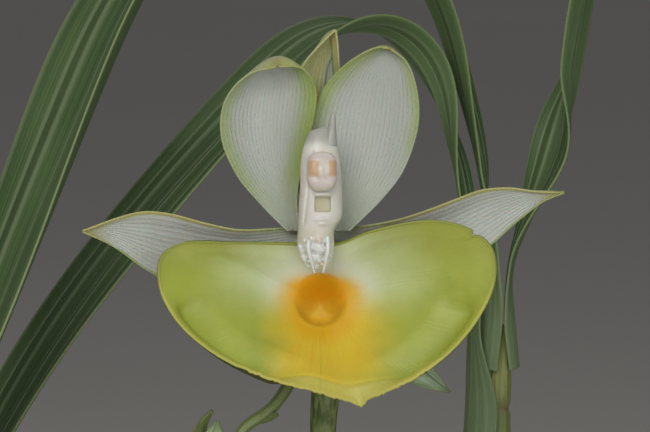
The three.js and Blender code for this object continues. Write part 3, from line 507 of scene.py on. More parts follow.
class SurfaceBuilder(NodeBuilder):
    """Builds one material out of nodes."""

    def __init__(self, name: str) -> None:
        """Starts a material with nothing but its output."""
        self.material = bpy.data.materials.new(name)
        self.material.use_nodes = True
        super().__init__(self.material.node_tree)
        self.tree.nodes.clear()
        self.object_place = self.add("ShaderNodeTexCoord").outputs["Object"]
        self.uv_place = self.add("ShaderNodeUVMap", uv_map="surface").outputs[0]

    def value(self, name: str) -> Socket:
        """A value that the mesh carries at its points."""
        return self.add(
            "ShaderNodeAttribute", attribute_name=name, attribute_type="GEOMETRY"
        ).outputs["Fac"]

    def stretched(self, place: Any, x: float, y: float, z: float = 1.0) -> Socket:
        """A place scaled differently along each axis."""
        return self.add("ShaderNodeMapping", {"Vector": place, "Scale": (x, y, z)}).outputs[0]

    def grain(self, scale: float, detail: float, rough: float = 0.5) -> Socket:
        """Even noise through the whole object."""
        return self.noise(self.object_place, scale, detail, rough)

    def drawn(self, place: Any, scales: Sequence[float], detail: float, rough: float = 0.5) -> Socket:
        """Noise drawn out along one axis or more."""
        return self.noise(self.stretched(place, *scales), 1.0, detail, rough)

    def blend(self, share: Any, a: Any, b: Any) -> Socket:
        """Mixes two colours, each a hex word or a socket."""
        first, second = (linear(c) if isinstance(c, str) else c for c in (a, b))
        return self.add("ShaderNodeMix", {0: share, 6: first, 7: second}, data_type="RGBA").outputs[2]

    def cover(self, base: Any, colour: Any, *shares: Any) -> Socket:
        """Lays a colour over a base by the product of some shares."""
        return self.blend(self.times(*shares), base, colour)

    def ramp(self, value: Any, stops: Sequence[tuple[float, str]]) -> Socket:
        """A colour read from stops along a value from 0 to 1."""
        node = self.add("ShaderNodeValToRGB", {0: value})
        elements = node.color_ramp.elements
        while len(elements) < len(stops):
            elements.new(0.5)
        for element, (place, colour) in zip(elements, stops):
            element.position, element.color = place, linear(colour)
        return node.outputs[0]

    def relief(self, height: Any, depth: float) -> Socket:
        """A bump of a depth in millimetres over a height from 0 to 1."""
        return self.add(
            "ShaderNodeBump", {"Height": height, "Strength": 1.0, "Distance": depth * MM}
        ).outputs[0]

    def finish(self, colour: Any, roughness: Any, normal: Any = None, **constants: Any) -> Material:
        """Joins the shader to the output.

        Args:
            colour: The surface colour, a hex word or a socket.
            roughness: Its roughness, a number or a socket.
            normal: A bump, where there is one.
            constants: Other sockets of the shader, with underscores for spaces, the same all over.

        Returns:
            The finished material.
        """
        inputs = {
            "Base Color": linear(colour) if isinstance(colour, str) else colour, "Roughness": roughness
        }
        if normal is not None:
            inputs["Normal"] = normal
        inputs |= {name.replace("_", " "): value for name, value in constants.items()}
        shader = self.add("ShaderNodeBsdfPrincipled", inputs)
        self.add("ShaderNodeOutputMaterial", {"Surface": shader.outputs[0]})
        return self.material


class GeometryTree(NodeBuilder):
    """A geometry tree with named inputs, which turns a piece into a plain mesh."""

    def __init__(self, name: str, sizes: dict[str, float | int]) -> None:
        """Makes the tree and its sockets.

        Args:
            name: The tree's name.
            sizes: Its number inputs and what each is at first.
        """
        super().__init__(bpy.data.node_groups.new(name, "GeometryNodeTree"))
        face = self.tree.interface
        face.new_socket("Geometry", in_out="INPUT", socket_type="NodeSocketGeometry")
        face.new_socket("Geometry", in_out="OUTPUT", socket_type="NodeSocketGeometry")
        face.new_socket("Finish", in_out="INPUT", socket_type="NodeSocketMaterial")
        for size, value in sizes.items():
            kind = "NodeSocketInt" if isinstance(value, int) else "NodeSocketFloat"
            face.new_socket(size, in_out="INPUT", socket_type=kind).default_value = value
        self.inputs = self.tree.nodes.new("NodeGroupInput").outputs

    def named(self, name: str, kind: str = "FLOAT") -> Socket:
        """A value that the geometry carries."""
        return self.add("GeometryNodeInputNamedAttribute", {"Name": name}, data_type=kind).outputs[0]

    def store(self, geometry: Any, name: str, value: Any, domain: str = "POINT") -> Socket:
        """Keeps a number on the geometry under a name."""
        inputs = {"Geometry": geometry, "Name": name, "Value": value}
        return self.add(
            "GeometryNodeStoreNamedAttribute", inputs, data_type="FLOAT", domain=domain
        ).outputs[0]

    def lift(self, geometry: Any, height: Any) -> Socket:
        """Moves each point along its own normal."""
        normal = self.add("GeometryNodeInputNormal").outputs[0]
        offset = self.add(
            "ShaderNodeVectorMath", {0: normal, "Scale": height}, operation="SCALE"
        ).outputs[0]
        return self.add("GeometryNodeSetPosition", {"Geometry": geometry, "Offset": offset}).outputs[0]

    def tube(self) -> Socket:
        """Sweeps a ring as wide as the carried radius along the lines, and measures it round and along."""
        curve = self.add("GeometryNodeMeshToCurve", {0: self.inputs["Geometry"]}).outputs[0]
        share = self.add("GeometryNodeSplineParameter").outputs["Factor"]
        measured = self.store(curve, "along", share)
        ring = self.add(
            "GeometryNodeCurvePrimitiveCircle", {"Resolution": self.inputs["Sides"], "Radius": 1.0}
        ).outputs[0]
        turned = self.store(ring, "across", share)
        inputs = {
            "Curve": measured, "Profile Curve": turned, "Scale": self.named("radius"), "Fill Caps": True
        }
        return self.add("GeometryNodeCurveToMesh", inputs).outputs[0]

    def end(self, geometry: Any) -> None:
        """Closes the tree: instances made real, shaded smooth, finish set."""
        real = self.add("GeometryNodeRealizeInstances", {0: geometry}).outputs[0]
        smooth = self.add("GeometryNodeSetShadeSmooth", {0: real}).outputs[0]
        dressed = self.add(
            "GeometryNodeSetMaterial", {0: smooth, "Material": self.inputs["Finish"]}
        ).outputs[0]
        self.add("NodeGroupOutput", {0: dressed})

    def apply(self, source: Piece, finish: Material, **sizes: Any) -> Piece:
        """Runs the tree on an object and keeps the result as its plain mesh.

        Args:
            source: The mesh object that the tree starts from.
            finish: The material of the result.
            sizes: Number inputs by name, with underscores for spaces.

        Returns:
            The same object with its new mesh and no modifier.
        """
        modifier = source.modifiers.new(self.tree.name, "NODES")
        modifier.node_group = self.tree
        wanted = {
            name.replace("_", " ").lower(): value for name, value in sizes.items()
        } | {"finish": finish}
        for item in self.tree.interface.items_tree:
            if item.item_type == "SOCKET" and item.in_out == "INPUT" and item.name.lower() in wanted:
                modifier[item.identifier] = wanted[item.name.lower()]
        graph = bpy.context.evaluated_depsgraph_get()
        mesh = bpy.data.meshes.new_from_object(
            source.evaluated_get(graph), preserve_all_data_layers=True, depsgraph=graph
        )
        source.modifiers.remove(modifier)
        old = source.data
        source.data = mesh
        bpy.data.meshes.remove(old)
        mesh.name = source.name
        return source


def vein_tree() -> GeometryTree:
    """Raises veins that run along a blade, by its own across and along values."""
    tree = GeometryTree(
        "raised veins", {"Veins": 14.0, "Height": 0.00005, "Start": 0.05, "End": 0.95, "Beads": 0.0}
    )
    across, along = tree.named("across"), tree.named("along")
    turn = tree.times(across, tree.inputs["Veins"], math.pi)
    crest = tree.power(tree.size(tree.cosine(turn)), 2.0)
    rises = tree.add(
        "ShaderNodeMapRange", {"Value": along, "From Min": 0.0, "From Max": tree.inputs["Start"]}
    ).outputs[0]
    inputs = {"Value": along, "From Min": tree.inputs["End"], "From Max": 1.0, "To Min": 1.0, "To Max": 0.0}
    fades = tree.add("ShaderNodeMapRange", inputs).outputs[0]
    place = tree.vector(tree.times(across, 40.0), tree.times(along, 60.0))
    beads = tree.times(tree.minus(tree.noise(place, 1.0), 0.5), tree.inputs["Beads"])
    height = tree.times(crest, tree.times(rises, fades), tree.inputs["Height"])
    beaded = tree.plus(height, tree.times(beads, tree.inputs["Height"]))
    tree.end(tree.lift(tree.inputs["Geometry"], beaded))
    return tree


def stem_tree() -> GeometryTree:
    """Turns a line of points with radii into a round, slightly lumpy stem."""
    tree = GeometryTree("round stem", {"Sides": 24, "Lump Height": 0.0001, "Lump Size": 0.004, "Seed": 1})
    tube = tree.tube()
    place = tree.add("GeometryNodeInputPosition").outputs[0]
    density = tree.over(1.0, tree.inputs["Lump Size"])
    inputs = {"Vector": place, "W": tree.inputs["Seed"], "Scale": density, "Detail": 2.0}
    lumps = tree.add("ShaderNodeTexNoise", inputs, noise_dimensions="4D").outputs[0]
    height = tree.times(tree.minus(lumps, 0.5), tree.inputs["Lump Height"])
    tree.end(tree.lift(tube, height))
    return tree


def bulb_tree() -> GeometryTree:
    """Turns a line of points with radii into a fluted stem with a ring at each node."""
    sizes = {
        "Sides": 120, "Flutes": 7, "Flute Depth": 0.0004, "Internodes": 6, "Ring Depth": 0.0005,
        "Wrinkle": 0.0002,
    }
    tree = GeometryTree("ringed bulb", sizes)
    tube = tree.tube()
    along, across = tree.named("along"), tree.named("across")
    turn = tree.times(across, tree.inputs["Flutes"], 2 * math.pi)
    flutes = tree.times(tree.cosine(turn), tree.inputs["Flute Depth"])
    phase = tree.cosine(tree.times(along, tree.inputs["Internodes"], math.pi))
    collar = tree.power(tree.size(phase), 90.0)
    rings = tree.times(collar, tree.inputs["Ring Depth"])
    place = tree.vector(tree.times(tree.cosine(tree.times(across, 2 * math.pi)), 5.0),
                        tree.times(tree.sine(tree.times(across, 2 * math.pi)), 5.0),
                        tree.times(along, 4.0))
    wrinkles = tree.times(tree.minus(tree.noise(place, 1.0, 3.0), 0.5), tree.inputs["Wrinkle"])
    height = tree.plus(tree.minus(flutes, rings), wrinkles)
    tree.end(tree.lift(tube, height))
    return tree


def chip_tree() -> GeometryTree:
    """Scatters bark chips over the faces of a bed that carry the value "bed"."""
    sizes = {"Density": 14000.0, "Length": 0.012, "Width": 0.008, "Height": 0.0045, "Seed": 7}
    tree = GeometryTree("bark chips", sizes)
    shapes = []
    for kind in range(4):
        block = tree.add(
            "GeometryNodeMeshCube",
            {"Size": (1.0, 1.0, 1.0), "Vertices X": 4, "Vertices Y": 3, "Vertices Z": 3},
        ).outputs[0]
        place = tree.add("GeometryNodeInputPosition").outputs[0]
        shifted = tree.add(
            "ShaderNodeVectorMath", {0: place, 1: (7.3 * kind, 2.1 * kind, 4.7)}, operation="ADD"
        ).outputs[0]
        inputs = {"Vector": shifted, "Scale": 1.7, "Detail": 1.0}
        colour = tree.add("ShaderNodeTexNoise", inputs).outputs[1]
        centred = tree.add(
            "ShaderNodeVectorMath", {0: colour, 1: (0.5, 0.5, 0.5)}, operation="SUBTRACT"
        ).outputs[0]
        offset = tree.add("ShaderNodeVectorMath", {0: centred, "Scale": 0.85}, operation="SCALE").outputs[0]
        worn = tree.add("GeometryNodeSetPosition", {"Geometry": block, "Offset": offset}).outputs[0]
        shapes.append(tree.add("GeometryNodeGeometryToInstance", {0: worn}).outputs[0])
    join = tree.add("GeometryNodeJoinGeometry")
    for shape in reversed(shapes):
        tree.tree.links.new(shape, join.inputs[0])
    bed = tree.named("bed")
    density = tree.times(bed, tree.inputs["Density"])
    inputs = {"Mesh": tree.inputs["Geometry"], "Density": density, "Seed": tree.inputs["Seed"]}
    spots = tree.add("GeometryNodeDistributePointsOnFaces", inputs).outputs[0]
    seed = tree.inputs["Seed"]
    low = tree.vector(
        tree.times(tree.inputs["Length"], 0.7), tree.times(tree.inputs["Width"], 0.7),
        tree.times(tree.inputs["Height"], 0.7),
    )
    high = tree.vector(
        tree.times(tree.inputs["Length"], 1.35), tree.times(tree.inputs["Width"], 1.35),
        tree.times(tree.inputs["Height"], 1.35),
    )
    scale = tree.add(
        "FunctionNodeRandomValue", {0: low, 1: high, "Seed": seed}, data_type="FLOAT_VECTOR"
    ).outputs[0]
    turn = tree.add(
        "FunctionNodeRandomValue",
        {0: (-0.38, -0.3, 0.0), 1: (0.38, 0.3, 6.28), "Seed": seed},
        data_type="FLOAT_VECTOR",
    ).outputs[0]
    which = tree.add("FunctionNodeRandomValue", {4: 0, 5: 3, "Seed": seed}, data_type="INT").outputs[2]
    inputs = {
        "Points": spots, "Instance": join.outputs[0], "Pick Instance": True, "Instance Index": which,
        "Rotation": turn, "Scale": scale,
    }
    chips = tree.add("GeometryNodeInstanceOnPoints", inputs).outputs[0]
    tone = tree.add("FunctionNodeRandomValue", {"Seed": 3}, data_type="FLOAT").outputs[1]
    toned = tree.store(chips, "tone", tone, "INSTANCE")
    both = tree.add("GeometryNodeJoinGeometry")
    tree.tree.links.new(toned, both.inputs[0])
    tree.tree.links.new(tree.inputs["Geometry"], both.inputs[0])
    tree.end(both.outputs[0])
    return tree


def drop_tree() -> GeometryTree:
    """Sets a small flattened drop on each point, by its radius."""
    tree = GeometryTree("dew drops", {"Flatness": 0.6})
    drop = tree.add("GeometryNodeMeshIcoSphere", {"Radius": 1.0, "Subdivisions": 3}).outputs[0]
    size = tree.named("radius")
    scale = tree.vector(size, tree.times(size, tree.inputs["Flatness"]), size)
    spots = tree.add(
        "GeometryNodeMeshToPoints", {"Mesh": tree.inputs["Geometry"], "Radius": size}
    ).outputs[0]
    drops = tree.add(
        "GeometryNodeInstanceOnPoints", {"Points": spots, "Instance": drop, "Scale": scale}
    ).outputs[0]
    tree.end(drops)
    return tree


class Trees:
    """The geometry trees, made once and shared by the pieces."""

    def __init__(self) -> None:
        """Builds each tree."""
        self.veins = vein_tree()
        self.stem = stem_tree()
        self.bulb = bulb_tree()
        self.chips = chip_tree()
        self.drops = drop_tree()


def line_object(name: str, lines: Sequence[tuple[np.ndarray, np.ndarray]]) -> Piece:
    """Makes an object of loose lines of points that carry a radius.

    Args:
        name: The object's name.
        lines: Points and radii of each line, in millimetres.

    Returns:
        The linked object, in metres.
    """
    points, edges, radii = [], [], []
    for path, radius in lines:
        first = len(points)
        points += (path * MM).tolist()
        radii += (np.asarray(radius) * MM).tolist()
        edges += [(first + k, first + k + 1) for k in range(len(path) - 1)]
    mesh = bpy.data.meshes.new(name)
    mesh.from_pydata(points, edges, [])
    mesh.attributes.new("radius", "FLOAT", "POINT").data.foreach_set("value", radii)
    piece = bpy.data.objects.new(name, mesh)
    bpy.context.scene.collection.objects.link(piece)
    return piece


def join_into(target: Piece, others: Sequence[Piece]) -> Piece:
    """Joins objects into one that keeps the target's name.

    Args:
        target: The object that stays.
        others: Objects whose meshes go into it.

    Returns:
        The target.
    """
    with bpy.context.temp_override(active_object=target, selected_editable_objects=[target, *others]):
        bpy.ops.object.join()
    return target


def hand_over(piece: Piece, slot: str, *nodes: str) -> None:
    """Rides a finished piece on the body and lets it stand for its CAD nodes."""
    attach(piece, BODY)
    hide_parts(*nodes)
    log.info("%s: %d faces", piece.name, len(piece.data.polygons))


# Finishes


@dataclass(frozen=True)
class LeafFinish:
    """A pleated leaf blade: satin, paler on its ribs and underside, with fine parallel veins."""

    name: str = "leaf"
    # The blade and shade greens are darker than the leaf's own: partly painted shade, for leaves that stand
    # back behind the flower.
    blade: str = "#56703f"
    shade: str = "#415a33"
    rib: str = "#93a57c"
    under: str = "#6b8454"
    margin: str = "#8d9f68"
    veins: float = 40.0

    def material(self) -> Material:
        """Builds the finish."""
        s = SurfaceBuilder(self.name)
        across, along, ribs = s.value("across"), s.value("along"), s.value("rib")
        streaks = s.drawn(s.uv_place, (60.0, 2.5), 3.0)
        cloud = s.grain(28.0, 3.0)
        base = s.blend(s.step(streaks, 0.35, 0.7), self.shade, self.blade)
        base = s.cover(base, self.under, s.step(cloud, 0.4, 0.75), 0.5)
        base = s.cover(base, self.rib, s.power(ribs, 9.0), 0.7)
        edge = s.step(s.size(s.minus(across, 0.5)), 0.485, 0.5)
        base = s.cover(base, self.margin, edge, 0.7)
        base = s.cover(base, self.under, s.step(s.value("face"), 0.6, 0.4), 0.45)
        base = s.cover(base, self.rib, s.step(along, 0.12, 0.0), 0.5)
        waves = s.sine(s.times(across, self.veins * 2 * math.pi))
        lines = s.add("ShaderNodeMath", {0: waves, 1: 0.5, 2: 0.5}, operation="MULTIPLY_ADD").outputs[0]
        crossing = s.drawn(s.uv_place, (30.0, 220.0), 1.0)
        height = s.plus(s.times(lines, 0.35), s.times(crossing, 0.4))
        rough = s.plus(s.times(streaks, 0.2), 0.4)
        return s.finish(base, rough, s.relief(height, 0.12), Subsurface_Weight=0.06, Subsurface_Scale=0.002)


@dataclass(frozen=True)
class TepalFinish:
    """A petal or sepal: translucent white with beaded veins, green margins and a tan tip, with a dark line of
    painted shade along the inner edge of a tan rim where crease is set.
    """

    name: str
    white: str = "#bec2bb"
    veined: str = "#b3bbae"
    green: str = "#9caf60"
    tan: str = "#bdb873"
    back: str = "#b9c79a"
    # Olive for painted shade: the dark line under a rolled rim.
    fold: str = "#6f7a40"
    left_band: float = 1.4
    right_band: float = 1.4
    left_strength: float = 0.8
    right_strength: float = 0.8
    tan_left: float = 0.0
    tan_right: float = 0.0
    tip_from: float = 0.86
    green_from: float = -0.3
    base_green: float = 0.3
    tan_from: float = 0.12
    # How strongly the painted shade line under the rolled rim is laid.
    crease: float = 0.0
    dots: float = 0.16
    veins: float = 22.0

    def material(self) -> Material:
        """Builds the finish."""
        s = SurfaceBuilder(self.name)
        across, along = s.value("across"), s.value("along")
        left, right = s.value("from_left"), s.value("from_right")
        wobble = s.times(s.minus(s.drawn(s.uv_place, (5.0, 9.0), 3.0), 0.5), 1.2)
        beads = s.drawn(s.uv_place, (70.0, 90.0), 2.0)
        cycle = s.times(s.plus(across, s.times(wobble, 0.006)), self.veins * 2 * math.pi)
        lines = s.plus(s.times(s.cosine(cycle), 0.5), 0.5)
        dotted = s.times(s.power(lines, 2.0), s.step(beads, 0.3, 0.7))
        base = s.blend(
            s.times(s.step(s.noise(s.uv_place, 6.0, 3.0), 0.35, 0.75), 0.35), self.white, self.veined
        )
        base = s.cover(base, self.veined, dotted, self.dots)
        base = s.cover(base, self.back, s.step(along, 0.45, 0.0), self.base_green)
        for distance, band, strength in (
            (left, self.left_band, self.left_strength), (right, self.right_band, self.right_strength)
        ):
            near = s.times(
                s.step(s.plus(distance, wobble), band, 0.0),
                s.step(along, self.green_from, self.green_from + 0.3),
            )
            base = s.cover(base, self.green, near, strength)
        for distance, band in ((left, self.tan_left), (right, self.tan_right)):
            if band:
                reach = s.step(along, self.tan_from, self.tan_from + 0.25)
                rim = s.times(s.step(distance, band, band * 0.8), reach)
                base = s.cover(base, self.tan, rim, 0.9)
                # A dark olive line of painted shade along the inner edge of the tan rim, where the rolled
                # margin shades the blade.
                if self.crease:
                    shade_line = s.step(s.size(s.minus(distance, band)), 0.5, 0.0)
                    base = s.cover(base, self.fold, shade_line, reach, self.crease)
        base = s.cover(base, self.tan, s.step(along, self.tip_from, 1.0), 0.9)
        behind = s.times(s.step(s.value("face"), 0.6, 0.4), s.step(along, 0.97, 0.8))
        base = s.cover(base, self.back, behind, 0.6)
        height = s.plus(s.times(dotted, 0.8), s.times(beads, 0.5))
        shine = s.plus(s.times(beads, 0.2), 0.34)
        return s.finish(base, shine, s.relief(height, 0.1), Subsurface_Weight=0.25, Subsurface_Scale=0.002)


@dataclass(frozen=True)
class LipFinish:
    """The fleshy lip: waxy yellow-green sides, a pale fan by the column, an orange sac and a yellow floor,
    with painted shade and light inside the sac, a painted highlight along the lower rim and a back painted
    dark as shade.
    """

    name: str = "lip"
    side: str = "#b0bb4c"
    dark: str = "#98a63c"
    olive: str = "#a5a84c"
    pale: str = "#ced8ae"
    white: str = "#e0e3d6"
    yellow: str = "#ecca35"
    orange: str = "#e6b312"
    # Deep orange of the rays, and of the sac's upper wall, where it also stands for painted shade under the
    # overhang.
    deep: str = "#eda80e"
    # The sac's lower inside, yellower than its upper wall: painted light on the sac's own orange.
    well: str = "#e3bd36"
    # Margin yellow-green, also laid thinly along the lower rim as a painted highlight.
    margin: str = "#c9c25e"
    brim: str = "#8f9a3e"
    # Dark olive over the whole back of the lip: painted shade, darker than the back's own green.
    under: str = "#4c5216"

    def material(self) -> Material:
        """Builds the finish."""
        s = SurfaceBuilder(self.name)
        x, z = s.value("front_x"), s.value("front_z")
        edge, sac, turn = s.value("edge"), s.value("sac"), s.value("turn")
        place = s.vector(x, 0.0, z)
        cloud = s.minus(s.noise(place, 0.14, 3.0), 0.5)
        fine = s.grain(900.0, 3.0)
        shade = s.step(s.plus(s.noise(place, 0.09, 2.0, 0.6), cloud), 0.3, 0.8)
        base = s.blend(s.times(shade, 0.55), self.side, self.dark)
        base = s.cover(base, self.olive, s.step(z, -9.0, 1.0), 0.55)
        spread = s.plus(sac, s.times(cloud, 5.0))
        upper = s.step(z, -16.0, -5.0)
        base = s.cover(base, self.pale, s.step(spread, 25.0, 8.0), upper, 0.85)
        base = s.cover(base, self.white, s.step(spread, 13.5, 6.0), upper, 0.8)
        floor = s.times(
            s.step(s.plus(s.size(s.minus(x, 2.0)), s.times(cloud, 6.0)), 14.5, 4.0), s.step(z, -8.0, -15.0)
        )
        floor = s.times(floor, s.step(sac, 25.0, 11.0))
        base = s.cover(base, self.yellow, floor, 0.9)
        glow = s.step(s.plus(sac, s.times(cloud, 3.0)), 9.2, 5.4)
        glow = s.times(glow, s.step(z, -4.5, -8.0))
        base = s.cover(base, self.orange, glow)
        streak = s.noise(s.vector(s.times(turn, 26.0), s.times(sac, 0.12)), 1.0, 2.0)
        rays = s.times(s.step(streak, 0.52, 0.7), floor, s.step(sac, 15.0, 6.0))
        base = s.cover(base, self.deep, rays, 0.7)
        # Inside the sac: its own orange, painted darker on the upper wall as shade under the overhang and
        # yellower on the lower wall as light that reaches it.
        inside = s.step(sac, 5.6, 4.9)
        sunk = s.blend(s.step(z, -9.5, -13.5), self.deep, self.well)
        base = s.cover(base, sunk, inside)
        base = s.cover(base, self.margin, s.value("fold"), 0.8)
        # A thin lighter band along the lower rim: painted highlight on the fleshy edge.
        lower_rim_highlight = s.times(s.step(edge, 0.5, 0.0), s.step(z, -4.0, -9.0))
        base = s.cover(base, self.margin, lower_rim_highlight, 0.4)
        base = s.cover(base, self.brim, s.step(edge, 0.45, 0.1), s.step(z, -12.0, -4.0))
        # The back painted dark olive: painted shade where the outer side curves away from the light.
        base = s.cover(base, self.under, s.step(s.value("face"), 0.55, 0.35))
        ridges = s.noise(s.vector(s.times(turn, 60.0), s.times(sac, 0.3)), 1.0, 2.0)
        height = s.plus(s.times(ridges, 0.7), s.times(fine, 0.5))
        shine = s.plus(s.times(fine, 0.14), 0.4)
        return s.finish(
            base, shine, s.relief(height, 0.09), Subsurface_Weight=0.2, Subsurface_Scale=0.003,
            Coat_Weight=0.05, Coat_Roughness=0.3,
        )


@dataclass(frozen=True)
class ColumnFinish:
    """The waxy cream column, wetter and whiter at its foot, with painted shade in its stigma hollow."""

    name: str = "column"
    cream: str = "#eae7e0"
    warm: str = "#d8d0b4"
    white: str = "#ebebe7"
    grey: str = "#b4b3aa"
    # Darker beige for painted shade in the stigma hollow.
    hollow: str = "#c6c0a2"

    def material(self) -> Material:
        """Builds the finish."""
        s = SurfaceBuilder(self.name)
        z = s.value("front_z")
        cloud = s.grain(260.0, 3.0)
        fine = s.grain(1500.0, 3.0)
        base = s.blend(s.times(s.step(cloud, 0.4, 0.7), 0.4), self.cream, self.warm)
        base = s.cover(base, self.warm, s.step(z, 4.0, 0.5), 0.6)
        base = s.cover(base, self.white, s.step(z, 0.4, -1.2))
        base = s.cover(base, self.grey, s.step(z, 16.0, 18.5))
        # Painted shade: the stigma hollow darkened as a recess.
        base = s.cover(base, self.hollow, s.value("hollow"))
        shine = s.plus(s.times(s.step(z, -0.6, 1.6), 0.22), 0.16)
        return s.finish(
            base, shine, s.relief(s.plus(fine, cloud), 0.06), Subsurface_Weight=0.25,
            Subsurface_Scale=0.001, Coat_Weight=0.25, Coat_Roughness=0.14,
        )


@dataclass(frozen=True)
class AntherFinish:
    """The anther cap: cream, with tan-orange where the pollen masses show through on either side."""

    name: str = "anther"
    cream: str = "#ddd6ca"
    pink: str = "#dcd0cb"
    tan: str = "#d5a86a"

    def material(self) -> Material:
        """Builds the finish."""
        s = SurfaceBuilder(self.name)
        cloud = s.grain(500.0, 3.0)
        base = s.blend(s.step(cloud, 0.35, 0.7), self.cream, self.pink)
        base = s.cover(base, self.tan, s.value("pollen"), 0.7)
        return s.finish(
            base, 0.36, s.relief(cloud, 0.05), Subsurface_Weight=0.3, Subsurface_Scale=0.0015,
            Coat_Weight=0.15, Coat_Roughness=0.2,
        )


@dataclass(frozen=True)
class StemFinish:
    """A green stem with long streaks, browner at its scars."""

    name: str = "stem"
    green: str = "#55652f"
    pale: str = "#8d9a5e"
    brown: str = "#5c4a30"

    def material(self) -> Material:
        """Builds the finish."""
        s = SurfaceBuilder(self.name)
        across, along = s.value("across"), s.value("along")
        streaks = s.noise(s.vector(s.times(across, 22.0), s.times(along, 5.0)), 1.0, 3.0)
        blotch = s.grain(120.0, 3.0)
        base = s.blend(s.step(streaks, 0.35, 0.7), self.green, self.pale)
        base = s.cover(base, self.brown, s.step(blotch, 0.55, 0.75), 0.6)
        specks = s.grain(900.0, 2.0)
        base = s.cover(base, self.brown, s.step(specks, 0.62, 0.7), 0.4)
        return s.finish(
            base, 0.42, s.relief(s.plus(streaks, specks), 0.12), Subsurface_Weight=0.05,
            Subsurface_Scale=0.001,
        )


@dataclass(frozen=True)
class BudFinish:
    """A closed bud: bloomy pale green, darker along its seams and at its tip."""

    name: str = "bud"
    pale: str = "#b5c9a2"
    green: str = "#8aa36e"
    dark: str = "#5d6d3c"

    def material(self) -> Material:
        """Builds the finish."""
        s = SurfaceBuilder(self.name)
        along, seam = s.value("along"), s.value("seam")
        streaks = s.drawn(s.uv_place, (40.0, 4.0), 3.0)
        base = s.blend(s.step(streaks, 0.3, 0.7), self.pale, self.green)
        base = s.cover(base, self.dark, seam, 0.6)
        base = s.cover(base, self.dark, s.step(along, 0.8, 1.0), 0.7)
        base = s.cover(base, self.dark, s.step(along, 0.14, 0.0), 0.6)
        return s.finish(base, 0.4, s.relief(streaks, 0.08), Subsurface_Weight=0.15, Subsurface_Scale=0.002)


@dataclass(frozen=True)
class BulbFinish:
    """A pseudobulb: green-yellow, scarred brown at its nodes, with fine lengthwise wrinkles."""

    name: str = "bulb"
    green: str = "#7b8d4d"
    yellow: str = "#a3a462"
    scar: str = "#8b7a52"
    dark: str = "#4b5630"
    internodes: float = 6.0

    def material(self) -> Material:
        """Builds the finish."""
        s = SurfaceBuilder(self.name)
        along = s.value("along")
        streaks = s.drawn(s.object_place, (500.0, 500.0, 40.0), 3.0)
        cloud = s.grain(60.0, 3.0)
        base = s.blend(s.step(cloud, 0.3, 0.75), self.green, self.yellow)
        base = s.cover(base, self.dark, s.step(streaks, 0.5, 0.8), 0.5)
        phase = s.cosine(s.times(along, self.internodes * math.pi))
        scars = s.power(s.size(phase), 120.0)
        base = s.cover(base, self.scar, scars, 0.85)
        specks = s.grain(700.0, 2.0)
        base = s.cover(base, self.scar, s.step(specks, 0.64, 0.7), 0.5)
        return s.finish(base, 0.45, s.relief(streaks, 0.25), Subsurface_Weight=0.08, Subsurface_Scale=0.003)


@dataclass(frozen=True)
class DrySheathFinish:
    """A papery dead leaf base: straw with brown fibres and grey weathering."""

    name: str = "dry_sheath"
    straw: str = "#c2ad84"
    brown: str = "#8a6d45"
    grey: str = "#a8a08c"

    def material(self) -> Material:
        """Builds the finish."""
        s = SurfaceBuilder(self.name)
        fibres = s.drawn(s.object_place, (900.0, 900.0, 45.0), 3.0)
        cloud = s.grain(70.0, 3.0)
        base = s.blend(s.step(fibres, 0.35, 0.7), self.brown, self.straw)
        base = s.cover(base, self.grey, s.step(cloud, 0.4, 0.7), 0.5)
        base = s.cover(base, self.brown, s.step(s.value("along"), 0.75, 1.0), 0.6)
        return s.finish(base, 0.85, s.relief(fibres, 0.4))


@dataclass(frozen=True)
class RootFinish:
    """Orchid roots: chalky velamen with green tips and soiled patches."""

    name: str = "root"
    chalk: str = "#cdc9b4"
    grey: str = "#9d9a86"
    tip: str = "#8fa257"
    soil: str = "#6f5b43"

    def material(self) -> Material:
        """Builds the finish."""
        s = SurfaceBuilder(self.name)
        cloud = s.grain(220.0, 4.0)
        fine = s.grain(1600.0, 3.0)
        base = s.blend(s.step(cloud, 0.35, 0.7), self.chalk, self.grey)
        base = s.cover(base, self.soil, s.step(fine, 0.56, 0.7), 0.5)
        base = s.cover(base, self.tip, s.step(s.value("tip"), 0.86, 0.97))
        return s.finish(base, 0.75, s.relief(s.plus(fine, cloud), 0.15))


@dataclass(frozen=True)
class BarkFinish:
    """Bark chips: each its own brown, with flaky layers and pale dust on top."""

    name: str = "bark"
    dark: str = "#3b2618"
    brown: str = "#6d4a2f"
    red: str = "#8a5a38"
    dust: str = "#a38c70"

    def material(self) -> Material:
        """Builds the finish."""
        s = SurfaceBuilder(self.name)
        layers = s.drawn(s.object_place, (260.0, 420.0, 900.0), 4.0, 0.6)
        cloud = s.grain(180.0, 4.0, 0.6)
        own = s.ramp(
            s.value("tone"), [(0.0, self.dark), (0.45, self.brown), (0.8, self.red), (1.0, self.dust)]
        )
        base = s.blend(s.step(layers, 0.35, 0.65), self.dark, own)
        base = s.cover(base, self.dust, s.step(cloud, 0.55, 0.8), 0.45)
        return s.finish(base, 0.92, s.relief(s.plus(layers, cloud), 0.6))


